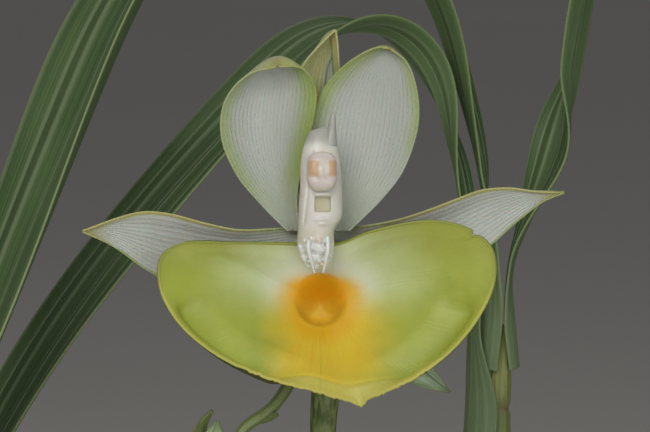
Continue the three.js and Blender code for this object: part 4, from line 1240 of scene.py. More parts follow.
@dataclass(frozen=True)
class ClayFinish:
    """A used clay pot: throwing rings, limescale bloom, damp and moss near the foot, worn edges."""

    name: str = "clay"
    clay: str = "#b4653f"
    pale: str = "#c98a66"
    dark: str = "#8f4a2c"
    lime: str = "#d8c8b4"
    moss: str = "#6c7446"
    height: float = 110.0

    def material(self) -> Material:
        """Builds the finish."""
        s = SurfaceBuilder(self.name)
        axes = s.add("ShaderNodeSeparateXYZ", {0: s.object_place})
        rise = s.over(axes.outputs[2], self.height * MM)
        cloud = s.grain(22.0, 5.0, 0.6)
        patch = s.drawn(s.object_place, (30.0, 30.0, 14.0), 5.0, 0.65)
        grain = s.grain(1400.0, 3.0)
        rings = s.drawn(s.object_place, (2.0, 2.0, 420.0), 2.0)
        base = s.blend(s.step(cloud, 0.3, 0.7), self.clay, self.pale)
        base = s.cover(base, self.dark, s.step(rings, 0.5, 0.75), 0.35)
        bloom = s.times(s.step(patch, 0.5, 0.72), s.step(rise, 0.95, 0.35))
        base = s.cover(base, self.lime, bloom, 0.6)
        damp = s.times(s.step(s.plus(rise, s.times(patch, 0.3)), 0.34, 0.12), 0.5)
        base = s.cover(base, self.dark, damp)
        green = s.times(s.step(cloud, 0.55, 0.75), s.step(rise, 0.45, 0.1))
        base = s.cover(base, self.moss, green, 0.4)
        base = s.cover(base, self.pale, s.step(grain, 0.6, 0.75), 0.3)
        height = s.plus(s.times(rings, 0.8), s.times(grain, 0.4))
        return s.finish(base, 0.88, s.relief(height, 0.35))


@dataclass(frozen=True)
class FloorFinish:
    """A plain pale floor with a barely visible tooth."""

    name: str = "floor"
    pale: str = "#c9c7c2"
    paler: str = "#cfcdc9"

    def material(self) -> Material:
        """Builds the finish."""
        s = SurfaceBuilder(self.name)
        cloud = s.grain(3.0, 4.0)
        return s.finish(s.blend(cloud, self.pale, self.paler), 0.75, s.relief(s.grain(300.0, 2.0), 0.05))


# The flower


@dataclass
class Blade:
    """A sepal or petal over its left margin, its midrib and its right margin, in the flower's frame."""

    name: str
    slot: str
    left: Points
    middle: Points
    right: Points
    finish: TepalFinish
    veins: float = 14.0
    vein_height: float = 0.02
    thickness: float = 0.8
    end: float = 0.992
    roll_left: float = 0.0
    roll_right: float = 0.0
    ripple: float = 0.12
    rows: int = 150
    columns: int = 72

    def grid(self) -> tuple[np.ndarray, Values]:
        """Lays the blade's surface.

        Returns:
            Its points and the values that its finish reads.
        """
        share = np.linspace(0.0, 1.0, self.rows + 1) * self.end
        fine = 1200
        at = np.round(share * (fine - 1)).astype(int)
        a, b, c = (smooth_path(rail, fine)[at][:, None] for rail in (self.left, self.middle, self.right))
        w = np.linspace(-1.0, 1.0, self.columns + 1)[None, :, None]
        grid = a * (w * (w - 1) / 2) + b * (1 - w * w) + c * (w * (w + 1) / 2)
        facing = grid_normals(grid, False)
        if facing[..., 1].mean() > 0:
            grid, w = grid[:, ::-1], w[:, ::-1]
            facing = -facing[:, ::-1]
        steps = np.linalg.norm(np.diff(grid, axis=1), axis=2)
        reach = np.concatenate([np.zeros((len(grid), 1)), np.cumsum(steps, axis=1)], axis=1)
        whole = reach[:, -1:]
        side = w[0, :, 0][None, :]
        if side[0, 0] > 0:
            from_right, from_left = reach, whole - reach
        else:
            from_left, from_right = reach, whole - reach
        along = np.broadcast_to(share[:, None], from_left.shape)
        body = np.sin(np.pi * np.clip(along, 0, 1)) ** 0.5
        curl = self.roll_left * smoothstep(0.55, 1.0, -side) + self.roll_right * smoothstep(0.55, 1.0, side)
        wave = self.ripple * np.sin(along * 11.0 + side * 2.0) * np.abs(side) ** 2
        grid = grid + facing * ((curl + wave) * body)[..., None]
        values = {
            "across": (side + 1) / 2 + along * 0,
            "along": along,
            "from_left": from_left,
            "from_right": from_right,
        }
        return grid, values

    def build(self, trees: Trees) -> Piece:
        """Builds and dresses the blade."""
        grid, values = self.grid()
        rim = np.minimum(values["from_left"], values["from_right"])
        thickness = self.thickness * (0.45 + 0.55 * smoothstep(0.0, 2.2, rim))
        draft = MeshDraft()
        add_blade_shell(draft, FLOWER.place(grid), thickness, values)
        finish = self.finish.material()
        piece = draft.build(f"tepal_{self.name}", finish)
        trees.veins.apply(piece, finish, veins=self.veins, height=self.vein_height * MM, beads=0.8)
        hand_over(piece, self.slot, self.name)
        return piece


def make_blades() -> list[Blade]:
    """The flower's three sepals and two petals."""
    return [
        Blade(
            "dorsal_sepal", "sepal",
            left=[
                (-1.6, 3.4, 3.2), (-4.2, 4.6, 11), (-4.8, 5, 20), (-4.2, 4.3, 27.5), (-2.9, 2.2, 31.8),
                (0.2, 0.6, 35.4), (3.2, -0.6, 37.9),
            ],
            middle=[
                (0, 4.2, 3.2), (0, 6.6, 11), (0.1, 7.6, 20), (0.5, 7, 27.5), (1.2, 5, 33), (2.2, 1.8, 37),
                (3.2, -0.6, 37.9),
            ],
            right=[
                (1.6, 3.4, 3.2), (4.2, 4.6, 11), (4.9, 5, 20), (4.5, 4.3, 27.5), (3.7, 2.2, 31.8),
                (3.5, 0.6, 35.4), (3.2, -0.6, 37.9),
            ],
            finish=TepalFinish(
                "dorsal_sepal", tan="#c6c688", tan_left=6.4, tan_right=2.0, left_band=1.4, tan_from=0.3,
                crease=0.7, dots=0.4, tip_from=0.9, veins=10.0,
            ),
            veins=9.0, roll_left=0.4,
        ),
        Blade(
            "lateral_sepal_left", "sepal",
            left=[
                (-2.9, 3.6, 2.3), (-8, 3.4, 2.2), (-14, 2.6, 2.2), (-20.3, 2.2, 3.4), (-26.6, 2, 4.9),
                (-31.4, 2, 5.3), (-36.4, 1.8, 4.2), (-42.8, 1, 1.6),
            ],
            middle=[
                (-2.9, 4.2, 0), (-11, 6, -2), (-19, 6.6, -2.6), (-26, 6, -1.6), (-32, 4.6, 0),
                (-37.2, 3.2, 1.4), (-42.8, 1, 1.6),
            ],
            right=[
                (-2.9, 3.6, -2.2), (-10, 6.2, -6.4), (-18, 7, -9.3), (-25, 6, -8.6), (-30.5, 4.4, -5.8),
                (-37.2, 2.6, -1), (-42.8, 1, 1.6),
            ],
            # A paler white than the petals: painted light, lifting the sepal out of the shade of the lip and
            # petals.
            finish=TepalFinish(
                "lateral_sepal_left", white="#cdd1c8", tan_left=0.5, left_band=1.0, right_band=0.5,
                tip_from=0.84, base_green=0.15, veins=12.0,
            ),
            veins=12.0, roll_left=0.5,
        ),
        Blade(
            "lateral_sepal_right", "sepal",
            left=[
                (2.9, 3.6, -2.2), (10, 6.2, -5.8), (18, 7, -7.2), (25.5, 6.2, -5), (31.3, 4.8, -0.9),
                (36.4, 3.4, 3.6), (40.9, 2, 7), (44.8, 1, 8.6),
            ],
            middle=[
                (2.9, 4.2, 0), (10, 6, -1.2), (17, 6.6, -1), (24, 6.2, 1.2), (30.6, 5.2, 4.6),
                (36, 3.6, 7), (40.4, 2.2, 8.2), (44.8, 1, 8.6),
            ],
            right=[
                (2.9, 3.6, 2.3), (9.4, 3.2, 2.9), (14.8, 2.7, 4), (20.2, 2.4, 5.9), (24.7, 2.2, 7.7),
                (29.4, 2.2, 9.3), (34.6, 2, 9.6), (39, 1.6, 9), (44.8, 1, 8.6),
            ],
            # A paler white than the petals: painted light, lifting the sepal out of the shade of the lip and
            # petals.
            finish=TepalFinish(
                "lateral_sepal_right", white="#cdd1c8", tan_right=0.5, right_band=1.0, left_band=0.5,
                tip_from=0.84, base_green=0.15, veins=12.0,
            ),
            veins=12.0, roll_right=0.5,
        ),
        Blade(
            "petal_left", "petal",
            left=[
                (-5.4, 1, 1.6), (-10.1, 0.6, 6.3), (-14.6, 0, 11.6), (-17.3, -0.6, 18.6),
                (-16.6, -1.4, 25), (-12.6, -3, 29.6), (-7.2, -5.2, 31),
            ],
            middle=[
                (-4.4, 1.8, 1.6), (-6.6, 2.4, 8), (-8.8, 3, 15), (-9.4, 3, 21.5), (-8.6, 1.8, 28),
                (-7.4, -1.6, 32.6), (-7.2, -5.2, 31),
            ],
            right=[
                (-3.3, 1, 1.6), (-3.9, -0.2, 8), (-2.7, -0.9, 14.5), (-0.9, -1.2, 21), (-0.5, -1.8, 27),
                (-2.8, -3.6, 30.6), (-7.2, -5.2, 31),
            ],
            finish=TepalFinish(
                "petal_left", left_band=4.0, right_band=6.0, left_strength=0.7, right_strength=1.0,
                green_from=0.05, tip_from=0.86,
            ),
            veins=16.0,
        ),
        Blade(
            "petal_right", "petal",
            left=[
                (3.3, 1, 1.6), (0.7, 1.9, 7.5), (-1.4, 2, 14), (-1, 1.9, 20.5), (1.1, 1.2, 27.2),
                (5.4, -0.4, 31.9), (10.4, -2.2, 34.5), (12.9, -3.2, 34.3),
            ],
            middle=[
                (4.4, 1.8, 1.6), (6, 2.8, 8), (7.8, 3.4, 15), (9, 3.3, 22), (10.4, 2, 29),
                (12.4, -0.6, 34.3), (12.9, -3.2, 34.3),
            ],
            right=[
                (5.6, 1, 1.6), (11.2, 0.6, 7.2), (15.4, 0, 12.8), (18, -0.6, 20.6), (17.6, -1, 27.4),
                (15.8, -1.8, 32), (12.9, -3.2, 34.3),
            ],
            finish=TepalFinish(
                "petal_right", left_band=4.5, right_band=3.0, left_strength=0.9, right_strength=0.7,
                green_from=0.3, tip_from=0.94,
            ),
            veins=16.0,
        ),
    ]


@dataclass
class LipBowl:
    """The lip: a broad bowl with a sac in its floor and a margin that turns back along its lower edge."""

    rim: Points = (
        (-4, -0.2, -0.6), (-15.8, -3, -0.4), (-24, -4.6, -0.5), (-27.8, -6, -2.9), (-28.1, -7.5, -8.1),
        (-24.8, -9.2, -14.4), (-18.2, -11, -20), (-9.6, -12.4, -24), (-1, -12.8, -26.5), (6.8, -11.8, -28.3),
        (14.2, -12.6, -25.7), (22, -11.4, -20.8), (28, -9, -14.3), (31.4, -7, -7), (30.9, -5.6, -1.4),
        (26.8, -4.6, 2.1), (20, -3.6, 3.5), (9.4, -2.2, 1.6), (3.6, -0.2, -0.6),
    )
    centre: Point = (0.4, 3.2, -11.0)
    sac_radius: float = 5.1
    sac_depth: float = 4.6
    sac_sag: float = -1.2
    rise: float = 1.9
    fold_from: float = 0.86
    fold_out: float = 2.6
    fold_side: tuple[float, float] = (-14.0, 22.0)
    thickness: float = 1.3
    columns: int = 400
    sac_rings: int = 30
    bowl_rings: int = 90
    tooth: float = 0.3
    point_at: tuple[float, float] = (7.2, 1.1)
    notch_at: tuple[float, float] = (28.3, 0.9)
    belly: float = 2.8

    def frill(self, rim: np.ndarray) -> np.ndarray:
        """How far its teeth, its small lower point and the notch on its right shoulder move the rim out."""
        centre = np.array(self.centre)
        lower = smoothstep(centre[2] - 8, centre[2] - 13, rim[:, 2])
        saw = np.abs(((rim[:, 0] * 0.62 + 0.4 * np.sin(rim[:, 0] * 1.7)) % 1.0) - 0.35)
        push = self.tooth * lower * (0.5 - saw * 1.6)
        low_point, drop = self.point_at
        push = push + drop * bump(rim[:, 0], low_point, 1.0) * lower
        notch_x, bite = self.notch_at
        upper = rim[:, 2] > centre[2] + 6
        push = push - bite * bump(rim[:, 0], notch_x, 0.5) * upper
        return push

    def surface(self) -> tuple[np.ndarray, Values]:
        """Lays the rings of the sac and the bowl.

        Returns:
            The points, ring by ring from the sac's floor to the rim, and the values that the finish reads.
        """
        rim = smooth_path(self.rim, self.columns, closed=True)[::-1]
        centre = np.array(self.centre)
        flat = np.hypot(rim[:, 0] - centre[0], rim[:, 2] - centre[2])
        mouth = self.sac_radius / flat
        sac = np.linspace(0.03, 1.0, self.sac_rings)[:, None] * mouth
        bowl = mouth + (1 - mouth) * (np.linspace(0.0, 1.0, self.bowl_rings + 1)[1:, None] ** 0.92)
        share = np.concatenate([sac, bowl], axis=0)
        points = centre + (rim - centre)[None] * share[..., None]
        points[..., 1] = centre[1] + (rim[:, 1] - centre[1]) * share**self.rise
        low, high = self.fold_side
        middle = np.maximum(0.0, 1 - ((rim[:, 0] - (low + high) / 2) / ((high - low) / 2)) ** 2)
        lower = np.where(rim[:, 2] < centre[2], middle, 0.0)
        past = np.maximum(0.0, share - self.fold_from) / (1 - self.fold_from)
        points[..., 1] += self.fold_out * lower * past
        crease = bump(share, self.fold_from, 0.018) * lower
        points[..., 1] += 0.35 * crease
        inward = np.clip(share / mouth, 0.0, 1.0)
        turn = np.arctan2(rim[:, 0] - centre[0], rim[:, 2] - centre[2])
        down = smoothstep(-0.2, 0.8, -np.cos(turn))
        soft, crisp = (1 - inward**2) ** 2, 1 - inward**5
        sunk = soft + (crisp - soft) * down
        points[..., 1] += self.sac_depth * sunk
        points[..., 2] += self.sac_sag * sunk
        side = smoothstep(0.95, 0.5, middle) * smoothstep(-9.0, -14.0, rim[:, 2])
        hump = np.sin(np.pi * np.clip((share - 0.7) / 0.3, 0, 1)) ** 2
        reach = self.belly * side * hump + self.frill(rim) * smoothstep(0.88, 1.0, share)
        away = rim - centre
        away[:, 1] = 0
        points += unit(away)[None] * reach[..., None]
        points[..., 1] += 0.8 * side * hump
        values = {
            "front_x": points[..., 0],
            "front_z": points[..., 2],
            "edge": (1 - share) * flat,
            "sac": share * flat,
            "turn": turn + share * 0,
            "fold": smoothstep(
                self.fold_from - 0.004, self.fold_from + 0.03, share
            ) * smoothstep(0.0, 0.25, lower),
        }
        return points, values

    def build(self) -> Piece:
        """Builds and dresses the lip."""
        points, values = self.surface()
        pole = np.array(self.centre) + (0.0, self.sac_depth, self.sac_sag)
        thin = self.thickness * (0.5 + 0.5 * smoothstep(0.0, 4.0, values["edge"]))
        draft = MeshDraft()
        add_round_shell(draft, FLOWER.place(points), thin, values, tuple(FLOWER.place(pole)))
        piece = draft.build("lip_bowl", LipFinish().material())
        hand_over(piece, "lip", "lip")
        return piece


@dataclass
class ColumnBody:
    """The upright column with its beak, feelers, hollow and wet foot, in the flower's frame."""

    stations: Sequence[tuple[float, float, float, float, float]] = (
        (-5.2, -1.9, 1.5, -4.6, -2.6),
        (-3.2, -3.1, 2.5, -5.4, -2.1),
        (-0.6, -3.7, 2.9, -6.0, -1.3),
        (2.0, -3.6, 3.0, -6.4, -1.0),
        (4.0, -3.5, 4.2, -6.8, -1.1),
        (6.5, -3.4, 4.4, -7.2, -1.4),
        (9.5, -3.2, 4.3, -7.6, -2.0),
        (13.5, -3.1, 4.0, -7.8, -2.8),
        (16.5, -2.6, 3.5, -7.6, -3.8),
        (18.6, -1.8, 3.1, -7.0, -4.8),
        (20.1, -1.0, 2.7, -6.4, -5.2),
    )
    hollow_centre: tuple[float, float] = (0.85, 6.4)
    hollow_size: tuple[float, float] = (1.4, 1.35)
    hollow_depth: float = 0.9
    beak: Points = ((2.2, -6, 17), (2.5, -6.3, 20), (2.7, -6.7, 22.6))
    feelers: Sequence[Points] = (
        ((-1.5, -5.4, 0.6), (-1.7, -6, -1.4), (-1.2, -5.9, -3.6), (-0.6, -5.2, -5.8)),
        ((1.7, -5.4, 0.6), (1.8, -6, -1.4), (1.4, -5.9, -3.6), (0.9, -5.2, -5.8)),
    )
    rows: int = 230
    sides: int = 200
    drops: int = 14

    def body(self) -> tuple[np.ndarray, Values]:
        """Lays the rings of the body and presses its relief into the front.

        Returns:
            The points and the values that the finish reads.
        """
        table = np.array(self.stations)
        low, high = table[0, 0], table[-1, 0]
        height = np.linspace(low, high, self.rows)
        left, right, front, back = (
            through(list(zip(table[:, 0], table[:, k])), height)[:, None] for k in range(1, 5)
        )
        ends = np.minimum(
            smoothstep(low - 0.01, low + 0.9, height), smoothstep(high + 0.01, high - 0.9, height)
        )[:, None]
        shrink = np.sqrt(np.clip(1 - (1 - ends) ** 2, 0.02, 1))
        turn = turns(self.sides)[None]
        x = (left + right) / 2 + (right - left) / 2 * np.cos(turn) * shrink
        y = (front + back) / 2 + (back - front) / 2 * np.sin(turn) * shrink
        z = height[:, None] + x * 0
        facing = smoothstep(0.15, 0.75, -np.sin(turn)) + x * 0
        hx, hz = self.hollow_centre
        wide, tall = self.hollow_size
        inside = smoothstep(0.14, -0.14, np.abs(x - hx) - wide) * smoothstep(
            0.12, -0.12, np.abs(z - hz) - tall
        )
        shelf = bump(z, hz + tall + 0.45, 0.4) * smoothstep(0.5, -0.3, np.abs(x - hx) - wide)
        lobes = 0.5 * bump(z, 3.7, 0.42) * bump(x, 0.7, 0.9) + 0.42 * bump(z, 2.9, 0.3) * bump(x, 0.9, 0.8)
        seam = 0.35 * bump(
            x, -1.9 + 0.12 * (z - 8), 0.25
        ) * smoothstep(2.0, 4.0, z) * smoothstep(17.0, 13.0, z)
        wet = smoothstep(0.9, -0.6, z)
        folds = 0.34 * np.sin(z * 3.3 + 0.8 * np.sin(x * 1.5) + 0.9) + 0.2 * np.sin(x * 4.2 + z * 1.6)
        crack = 0.4 * bump(x - 0.25 * np.sin(z * 2.4), 1.0, 0.16) + 0.3 * bump(
            x - 0.2 * np.sin(z * 3.1 + 1), -0.4, 0.12
        )
        relief = shelf * 0.55 + lobes - seam - inside * self.hollow_depth + wet * (folds - crack)
        y = y - relief * facing
        points = np.stack([x, y, z], axis=-1)
        # The hollow value marks where the finish paints shade in the recess.
        return points, {"front_z": z, "hollow": inside * facing}

    def build(self, trees: Trees) -> Piece:
        """Builds and dresses the column."""
        finish = ColumnFinish().material()
        points, values = self.body()
        draft = MeshDraft()
        placed = FLOWER.place(points)
        first = draft.add_grid(placed, wraps=True, values=values)
        ring = first + np.arange(self.sides)
        for row, numbers in ((0, ring[::-1]), (self.rows - 1, ring + (self.rows - 1) * self.sides)):
            middle = placed[row].mean(axis=0)
            draft.add_fan(middle, numbers, {"front_z": points[row, 0, 2]})
        for path, radii, z in (
            (self.beak, [(0, 1.3), (0.4, 0.85), (0.8, 0.58), (1, 0.3)], 19.0),
            *((feeler, [(0, 0.5), (0.6, 0.34), (1, 0.16)], -1.0) for feeler in self.feelers),
        ):
            line = FLOWER.place(smooth_path(path, 40))
            add_tube(draft, line, through(radii, np.linspace(0, 1, 40)), 20, {"front_z": z})
        piece = draft.build("column_body", finish)
        piece = join_into(piece, [self.droplets(trees, finish)])
        hand_over(piece, "column", "column")
        return piece

    def droplets(self, trees: Trees, finish: Material) -> Piece:
        """Nectar drops between the folds of the foot."""
        random = np.random.default_rng(11)
        count = self.drops
        spots = np.stack(
            [
                random.uniform(-2.2, 2.2, count), random.uniform(-6.0, -5.4, count),
                random.uniform(-4.4, 0.2, count),
            ],
            axis=1,
        )
        line = line_object("drops", [(FLOWER.place(spots), random.uniform(0.1, 0.26, count))])
        return trees.drops.apply(line, finish)


@dataclass
class AntherCap:
    """The loose cap over the pollen masses, on the front of the column."""

    centre: Point = (0.7, -8.2, 12.2)
    half: Point = (2.7, 1.9, 3.5)
    box: float = 3.0
    rows: int = 110
    sides: int = 120

    def build(self) -> Piece:
        """Builds and dresses the cap."""
        lift = np.linspace(-math.pi / 2, math.pi / 2, self.rows + 2)[1:-1, None]
        turn = turns(self.sides)[None]
        x, y, z = np.cos(lift) * np.cos(turn), np.cos(lift) * np.sin(turn), np.sin(lift) + turn * 0
        square = (np.abs(x) ** self.box + np.abs(y) ** self.box + np.abs(z) ** self.box) ** (-1 / self.box)
        x, y, z = x * square, y * square, z * square
        facing = smoothstep(0.0, 0.5, -y)
        cheeks = 0.12 * (bump(x, -0.62, 0.3) + bump(x, 0.62, 0.3)) * bump(z, 0.12, 0.34)
        brow = 0.14 * bump(z, 0.62, 0.25) * bump(x, -0.15, 0.5)
        nose = 0.2 * bump(x, 0.0, 0.24) * bump(z, -0.12, 0.3)
        chin = 0.1 * bump(z, -0.66, 0.26)
        waist = 0.12 * bump(z, -0.3, 0.14) * (1 - bump(x, 0, 0.3))
        y = y * (1 + facing * (cheeks + brow + nose + chin - waist))
        high = smoothstep(0.62, 0.5, z) * smoothstep(-0.3, -0.18, z)
        left = smoothstep(-0.16, -0.26, x) * smoothstep(-0.92, -0.82, x)
        right = smoothstep(0.42, 0.52, x) * smoothstep(0.98, 0.9, x)
        pollen = high * (left + right) * facing
        half, centre = np.array(self.half), np.array(self.centre)
        placed = FLOWER.place(np.stack([x, y, z], axis=-1) * half + centre)
        draft = MeshDraft()
        first = draft.add_grid(placed, wraps=True, values={"pollen": np.clip(pollen, 0, 1)})
        ring = first + np.arange(self.sides)
        draft.add_fan(FLOWER.place(centre - (0, 0, half[2])), ring[::-1])
        draft.add_fan(FLOWER.place(centre + (0, 0, half[2])), ring + (self.rows - 1) * self.sides)
        piece = draft.build("anther", AntherFinish().material())
        hand_over(piece, "anther", "anther_cap")
        return piece


@dataclass
class Bud:
    """A closed bud of three sepals, in the flower's frame."""

    name: str
    base: Point
    tip: Point
    radius: float
    girth: Pairs = ((0, 0.3), (0.08, 0.72), (0.3, 1), (0.55, 0.88), (0.8, 0.5), (0.94, 0.2), (1, 0.07))
    rows: int = 90
    sides: int = 96

    def build(self) -> Piece:
        """Builds and dresses the bud."""
        start, end = np.array(self.base), np.array(self.tip)
        along = end - start
        side = unit(np.cross(along, (0, 1, 0)))
        out = unit(np.cross(along, side))
        share = np.linspace(0, 1, self.rows)[:, None]
        turn = turns(self.sides)[None]
        seam = np.exp(-((np.sin(1.5 * turn + math.pi / 2) / 0.22) ** 2)) + share * 0
        reach = self.radius * through(self.girth, share) * (1 + 0.09 * np.cos(3 * turn) - 0.1 * seam)
        points = start + along * share[..., None] + reach[..., None] * (
            np.cos(turn)[..., None] * side + np.sin(turn)[..., None] * out
        )
        draft = MeshDraft()
        first = draft.add_grid(
            FLOWER.place(points), wraps=True, values={"along": share + turn * 0, "seam": seam}
        )
        ring = first + np.arange(self.sides)
        draft.add_fan(FLOWER.place(start), ring[::-1])
        draft.add_fan(FLOWER.place(end), ring + (self.rows - 1) * self.sides, {"along": 1.0})
        piece = draft.build(f"{self.name}_closed", BudFinish().material())
        hand_over(piece, "bud", self.name)
        return piece


@dataclass
class FlowerSpike:
    """The peduncle and rachis with ovary, bud stalks, bracts and sleeves, grown as one piece."""

    low: Points = ((21.5, 8.5, 97.2), (20.6, 1.5, 106), (14, -24, 138), (3, -58, 181))
    high: Points = (
        (1.2, 50, -42), (2.8, 46, -19), (3.2, 38, -5), (1.5, 27.5, -7.5), (-2, 20, -20), (-8, 16, -30.6),
        (-14.2, 14.8, -35.6), (-16.4, 15.4, -42), (-17.6, 15, -50), (-20, 12.5, -57),
    )
    radii: Pairs = ((0, 2.1), (0.15, 2.3), (0.6, 1.8), (0.8, 1.35), (1, 0.9))
    ovary: Points = ((0, 2.3, 0.6), (0, 6, -0.4), (0.6, 16, -2.6), (2.2, 29, -6))
    stalks: Sequence[Points] = (
        ((-1.2, 21.5, -17), (4, 22.5, -16.5), (9, 22, -19.2), (12.1, 21.5, -21.3)),
        ((-17.2, 15, -48), (-19.4, 12.6, -51.6), (-20.8, 10.2, -51.4), (-20.4, 9.3, -48.5)),
    )
    bracts: Sequence[tuple[Points, float]] = (
        (((1.6, 28.5, -8.5), (4.6, 27.6, -11.5), (6.5, 25, -17.5)), 3.6),
        (((-1.6, 21, -17.5), (-5, 22.6, -18.4), (-6.9, 22.5, -22.5)), 3.0),
        (((-11.6, 15.4, -33.4), (-9.8, 15, -32.9), (-7.4, 14.2, -32.4)), 1.8),
        (((-17.4, 15.4, -47), (-22.4, 15, -40), (-21.4, 13.6, -34.4), (-19.5, 12.4, -31.5)), 3.0),
    )
    sleeves: Sequence[tuple[float, float, float]] = (
        (0.1, 0.2, 0.8), (0.34, 0.43, 0.75), (0.57, 0.63, 0.65)
    )
    rows: int = 420
    ovary_rows: int = 90
    stalk_rows: int = 60
    bract_rows: int = 40

    def build(self, trees: Trees) -> Piece:
        """Builds and dresses the spike."""
        finish = StemFinish().material()
        path = smooth_path([*self.low, *FLOWER.place(self.high).tolist()], self.rows)
        share = np.linspace(0, 1, self.rows)
        lines = [(path, through(self.radii, share))]
        part = np.linspace(0, 1, self.ovary_rows)
        ribs = 1 + 0.04 * np.sin(part * 30)
        lines.append(
            (
                FLOWER.place(smooth_path(self.ovary, self.ovary_rows)),
                through(((0, 2.1), (0.3, 1.9), (1, 1.4)), part) * ribs,
            )
        )
        lines += [
            (FLOWER.place(smooth_path(stalk, self.stalk_rows)), np.linspace(1.0, 0.9, self.stalk_rows))
            for stalk in self.stalks
        ]
        piece = trees.stem.apply(line_object("flower_stem", lines), finish, lump_height=0.35 * MM)
        draft = MeshDraft()
        for rail, width in self.bracts:
            self.add_bract(draft, FLOWER.place(smooth_path(rail, self.bract_rows)), width)
        for start, stop, flare in self.sleeves:
            kept = slice(int(start * (self.rows - 1)), int(stop * (self.rows - 1)))
            self.add_sleeve(draft, path[kept], share[kept], flare)
        trim = draft.build("trim", finish)
        piece = join_into(piece, [trim])
        hand_over(piece, "stem", "flower_spike")
        return piece

    def add_bract(self, draft: MeshDraft, path: np.ndarray, width: float) -> None:
        """Adds a pointed scale along a path."""
        ahead = unit(np.gradient(path, axis=0))
        side = unit(np.cross(ahead, (0.0, 1.0, 0.0)))
        out = np.cross(side, ahead)
        share = np.linspace(0, 1, len(path))
        reach = through(
            ((0, 0.35), (0.25, 0.5), (0.5, 0.46), (0.75, 0.3), (1, 0.05)), share
        )[:, None, None] * width
        w = np.linspace(-1, 1, 17)[None, :, None]
        grid = path[:, None] + side[:, None] * w * reach + out[:, None] * (w**2) * reach * 0.5
        values = {
            "across": (w[..., 0] + 1) / 2 + share[:, None] * 0, "along": share[:, None] + w[..., 0] * 0
        }
        add_blade_shell(draft, grid, 0.6, values)

    def add_sleeve(self, draft: MeshDraft, path: np.ndarray, share: np.ndarray, flare: float) -> None:
        """Adds a sheathing bract that hugs the stem and opens a little at its top."""
        ahead = unit(np.gradient(path, axis=0))
        side = unit(np.cross(ahead, (1.0, 0.0, 0.0)))
        up = np.cross(ahead, side)
        turn = turns(32)[None, :, None]
        climb = np.linspace(0, 1, len(path))[:, None, None]
        slant = np.clip(climb * (1 + 0.3 * np.cos(turn)), 0, 1)
        radius = through(self.radii, share)[:, None, None] + 0.45 + flare * slant**2
        grid = path[:, None] + radius * (np.cos(turn) * side[:, None] + np.sin(turn) * up[:, None])
        values = {
            "across": turn[..., 0] / (2 * math.pi) + climb[..., 0] * 0,
            "along": climb[..., 0] + turn[..., 0] * 0,
        }
        add_round_shell(draft, grid, 0.5, values)


# The plant


@dataclass
class Pseudobulb:
    """A swollen stem with rings where leaves have grown."""

    name: str
    foot: Point
    top: Point
    profile: Pairs
    internodes: int
    flute_depth: float
    sheath: tuple[float, float, float]
    rows: int = 260
    sheath_thickness: float = 0.6

    def at(self, share: Any) -> np.ndarray:
        """Points on the bulb's axis."""
        foot, top = np.array(self.foot), np.array(self.top)
        return foot + (top - foot) * np.asarray(share, float)[..., None]

    def radius(self, share: Any) -> np.ndarray:
        """The bulb's radius at shares of its height."""
        return through(self.profile, share)

    def build(self, trees: Trees, finish: Material) -> Piece:
        """Builds and dresses the bulb."""
        share = np.linspace(0, 1, self.rows)
        line = line_object(f"bulb_{self.name}", [(self.at(share), self.radius(share))])
        sizes = {"flute_depth": self.flute_depth * MM, "internodes": self.internodes, "wrinkle": 0.7 * MM}
        piece = trees.bulb.apply(line, finish, **sizes)
        hand_over(piece, "bulb", f"pseudobulb_{self.name}")
        return piece

    def build_sheath(self, finish: Material) -> Piece:
        """Builds the torn papery sleeve round the bulb's foot."""
        start, stop, torn = self.sheath
        rows, sides = 70, 220
        turn = turns(sides)[None]
        climb = np.linspace(0, 1, rows)[:, None]
        waves = 0.3 * np.sin(3 * turn + 1) + 0.35 * np.sin(5 * turn) + 0.1 * np.sin(23 * turn)
        tear = torn * (0.5 + waves + 0.05 * np.sin(41 * turn + 2))
        share = start + (stop + tear - start) * climb
        lift = GAP + self.sheath_thickness / 2 + 0.55 + 0.6 * climb**3
        creases = 0.22 * np.sin(19 * turn + 3 * climb) + 0.14 * np.sin(37 * turn + 5 * climb)
        radius = self.radius(share) + lift + creases * climb
        points = self.at(share) + np.stack(
            [radius * np.cos(turn), radius * np.sin(turn), radius * 0], axis=-1
        )
        draft = MeshDraft()
        values = {"along": climb + turn * 0, "across": turn / (2 * math.pi) + climb * 0}
        add_round_shell(draft, points, self.sheath_thickness, values)
        piece = draft.build(f"sheath_{self.name}", finish)
        hand_over(piece, "dry_sheath", f"dry_sheath_{self.name}")
        return piece


def make_bulbs() -> list[Pseudobulb]:
    """The leading pseudobulb and the two older ones."""
    return [
        Pseudobulb(
            "lead", (24, 18, 97.4), (31.6, 24.6, 214),
            (
                (0, 5), (0.04, 9.5), (0.12, 12.6), (0.27, 14.5), (0.44, 12.4), (0.6, 7.9), (0.7, 5.2),
                (0.8, 3.7), (0.92, 2.9), (1, 1.4),
            ),
            6, 0.16, (0.045, 0.1, 0.05),
        ),
        Pseudobulb(
            "second", (-10, 12, 97.4), (-14, 20, 184),
            ((0, 5), (0.06, 9.5), (0.18, 13), (0.38, 14.2), (0.62, 11.8), (0.82, 7.4), (0.95, 4), (1, 2.2)),
            6, 0.5, (0.07, 0.56, 0.16),
        ),
        Pseudobulb(
            "third", (-37.6, 4, 97.4), (-44, 6, 168),
            ((0, 4.5), (0.06, 8), (0.2, 10.6), (0.42, 11.4), (0.66, 9.2), (0.84, 6), (0.96, 3.4), (1, 2)),
            5, 0.55, (0.08, 0.5, 0.18),
        ),
    ]


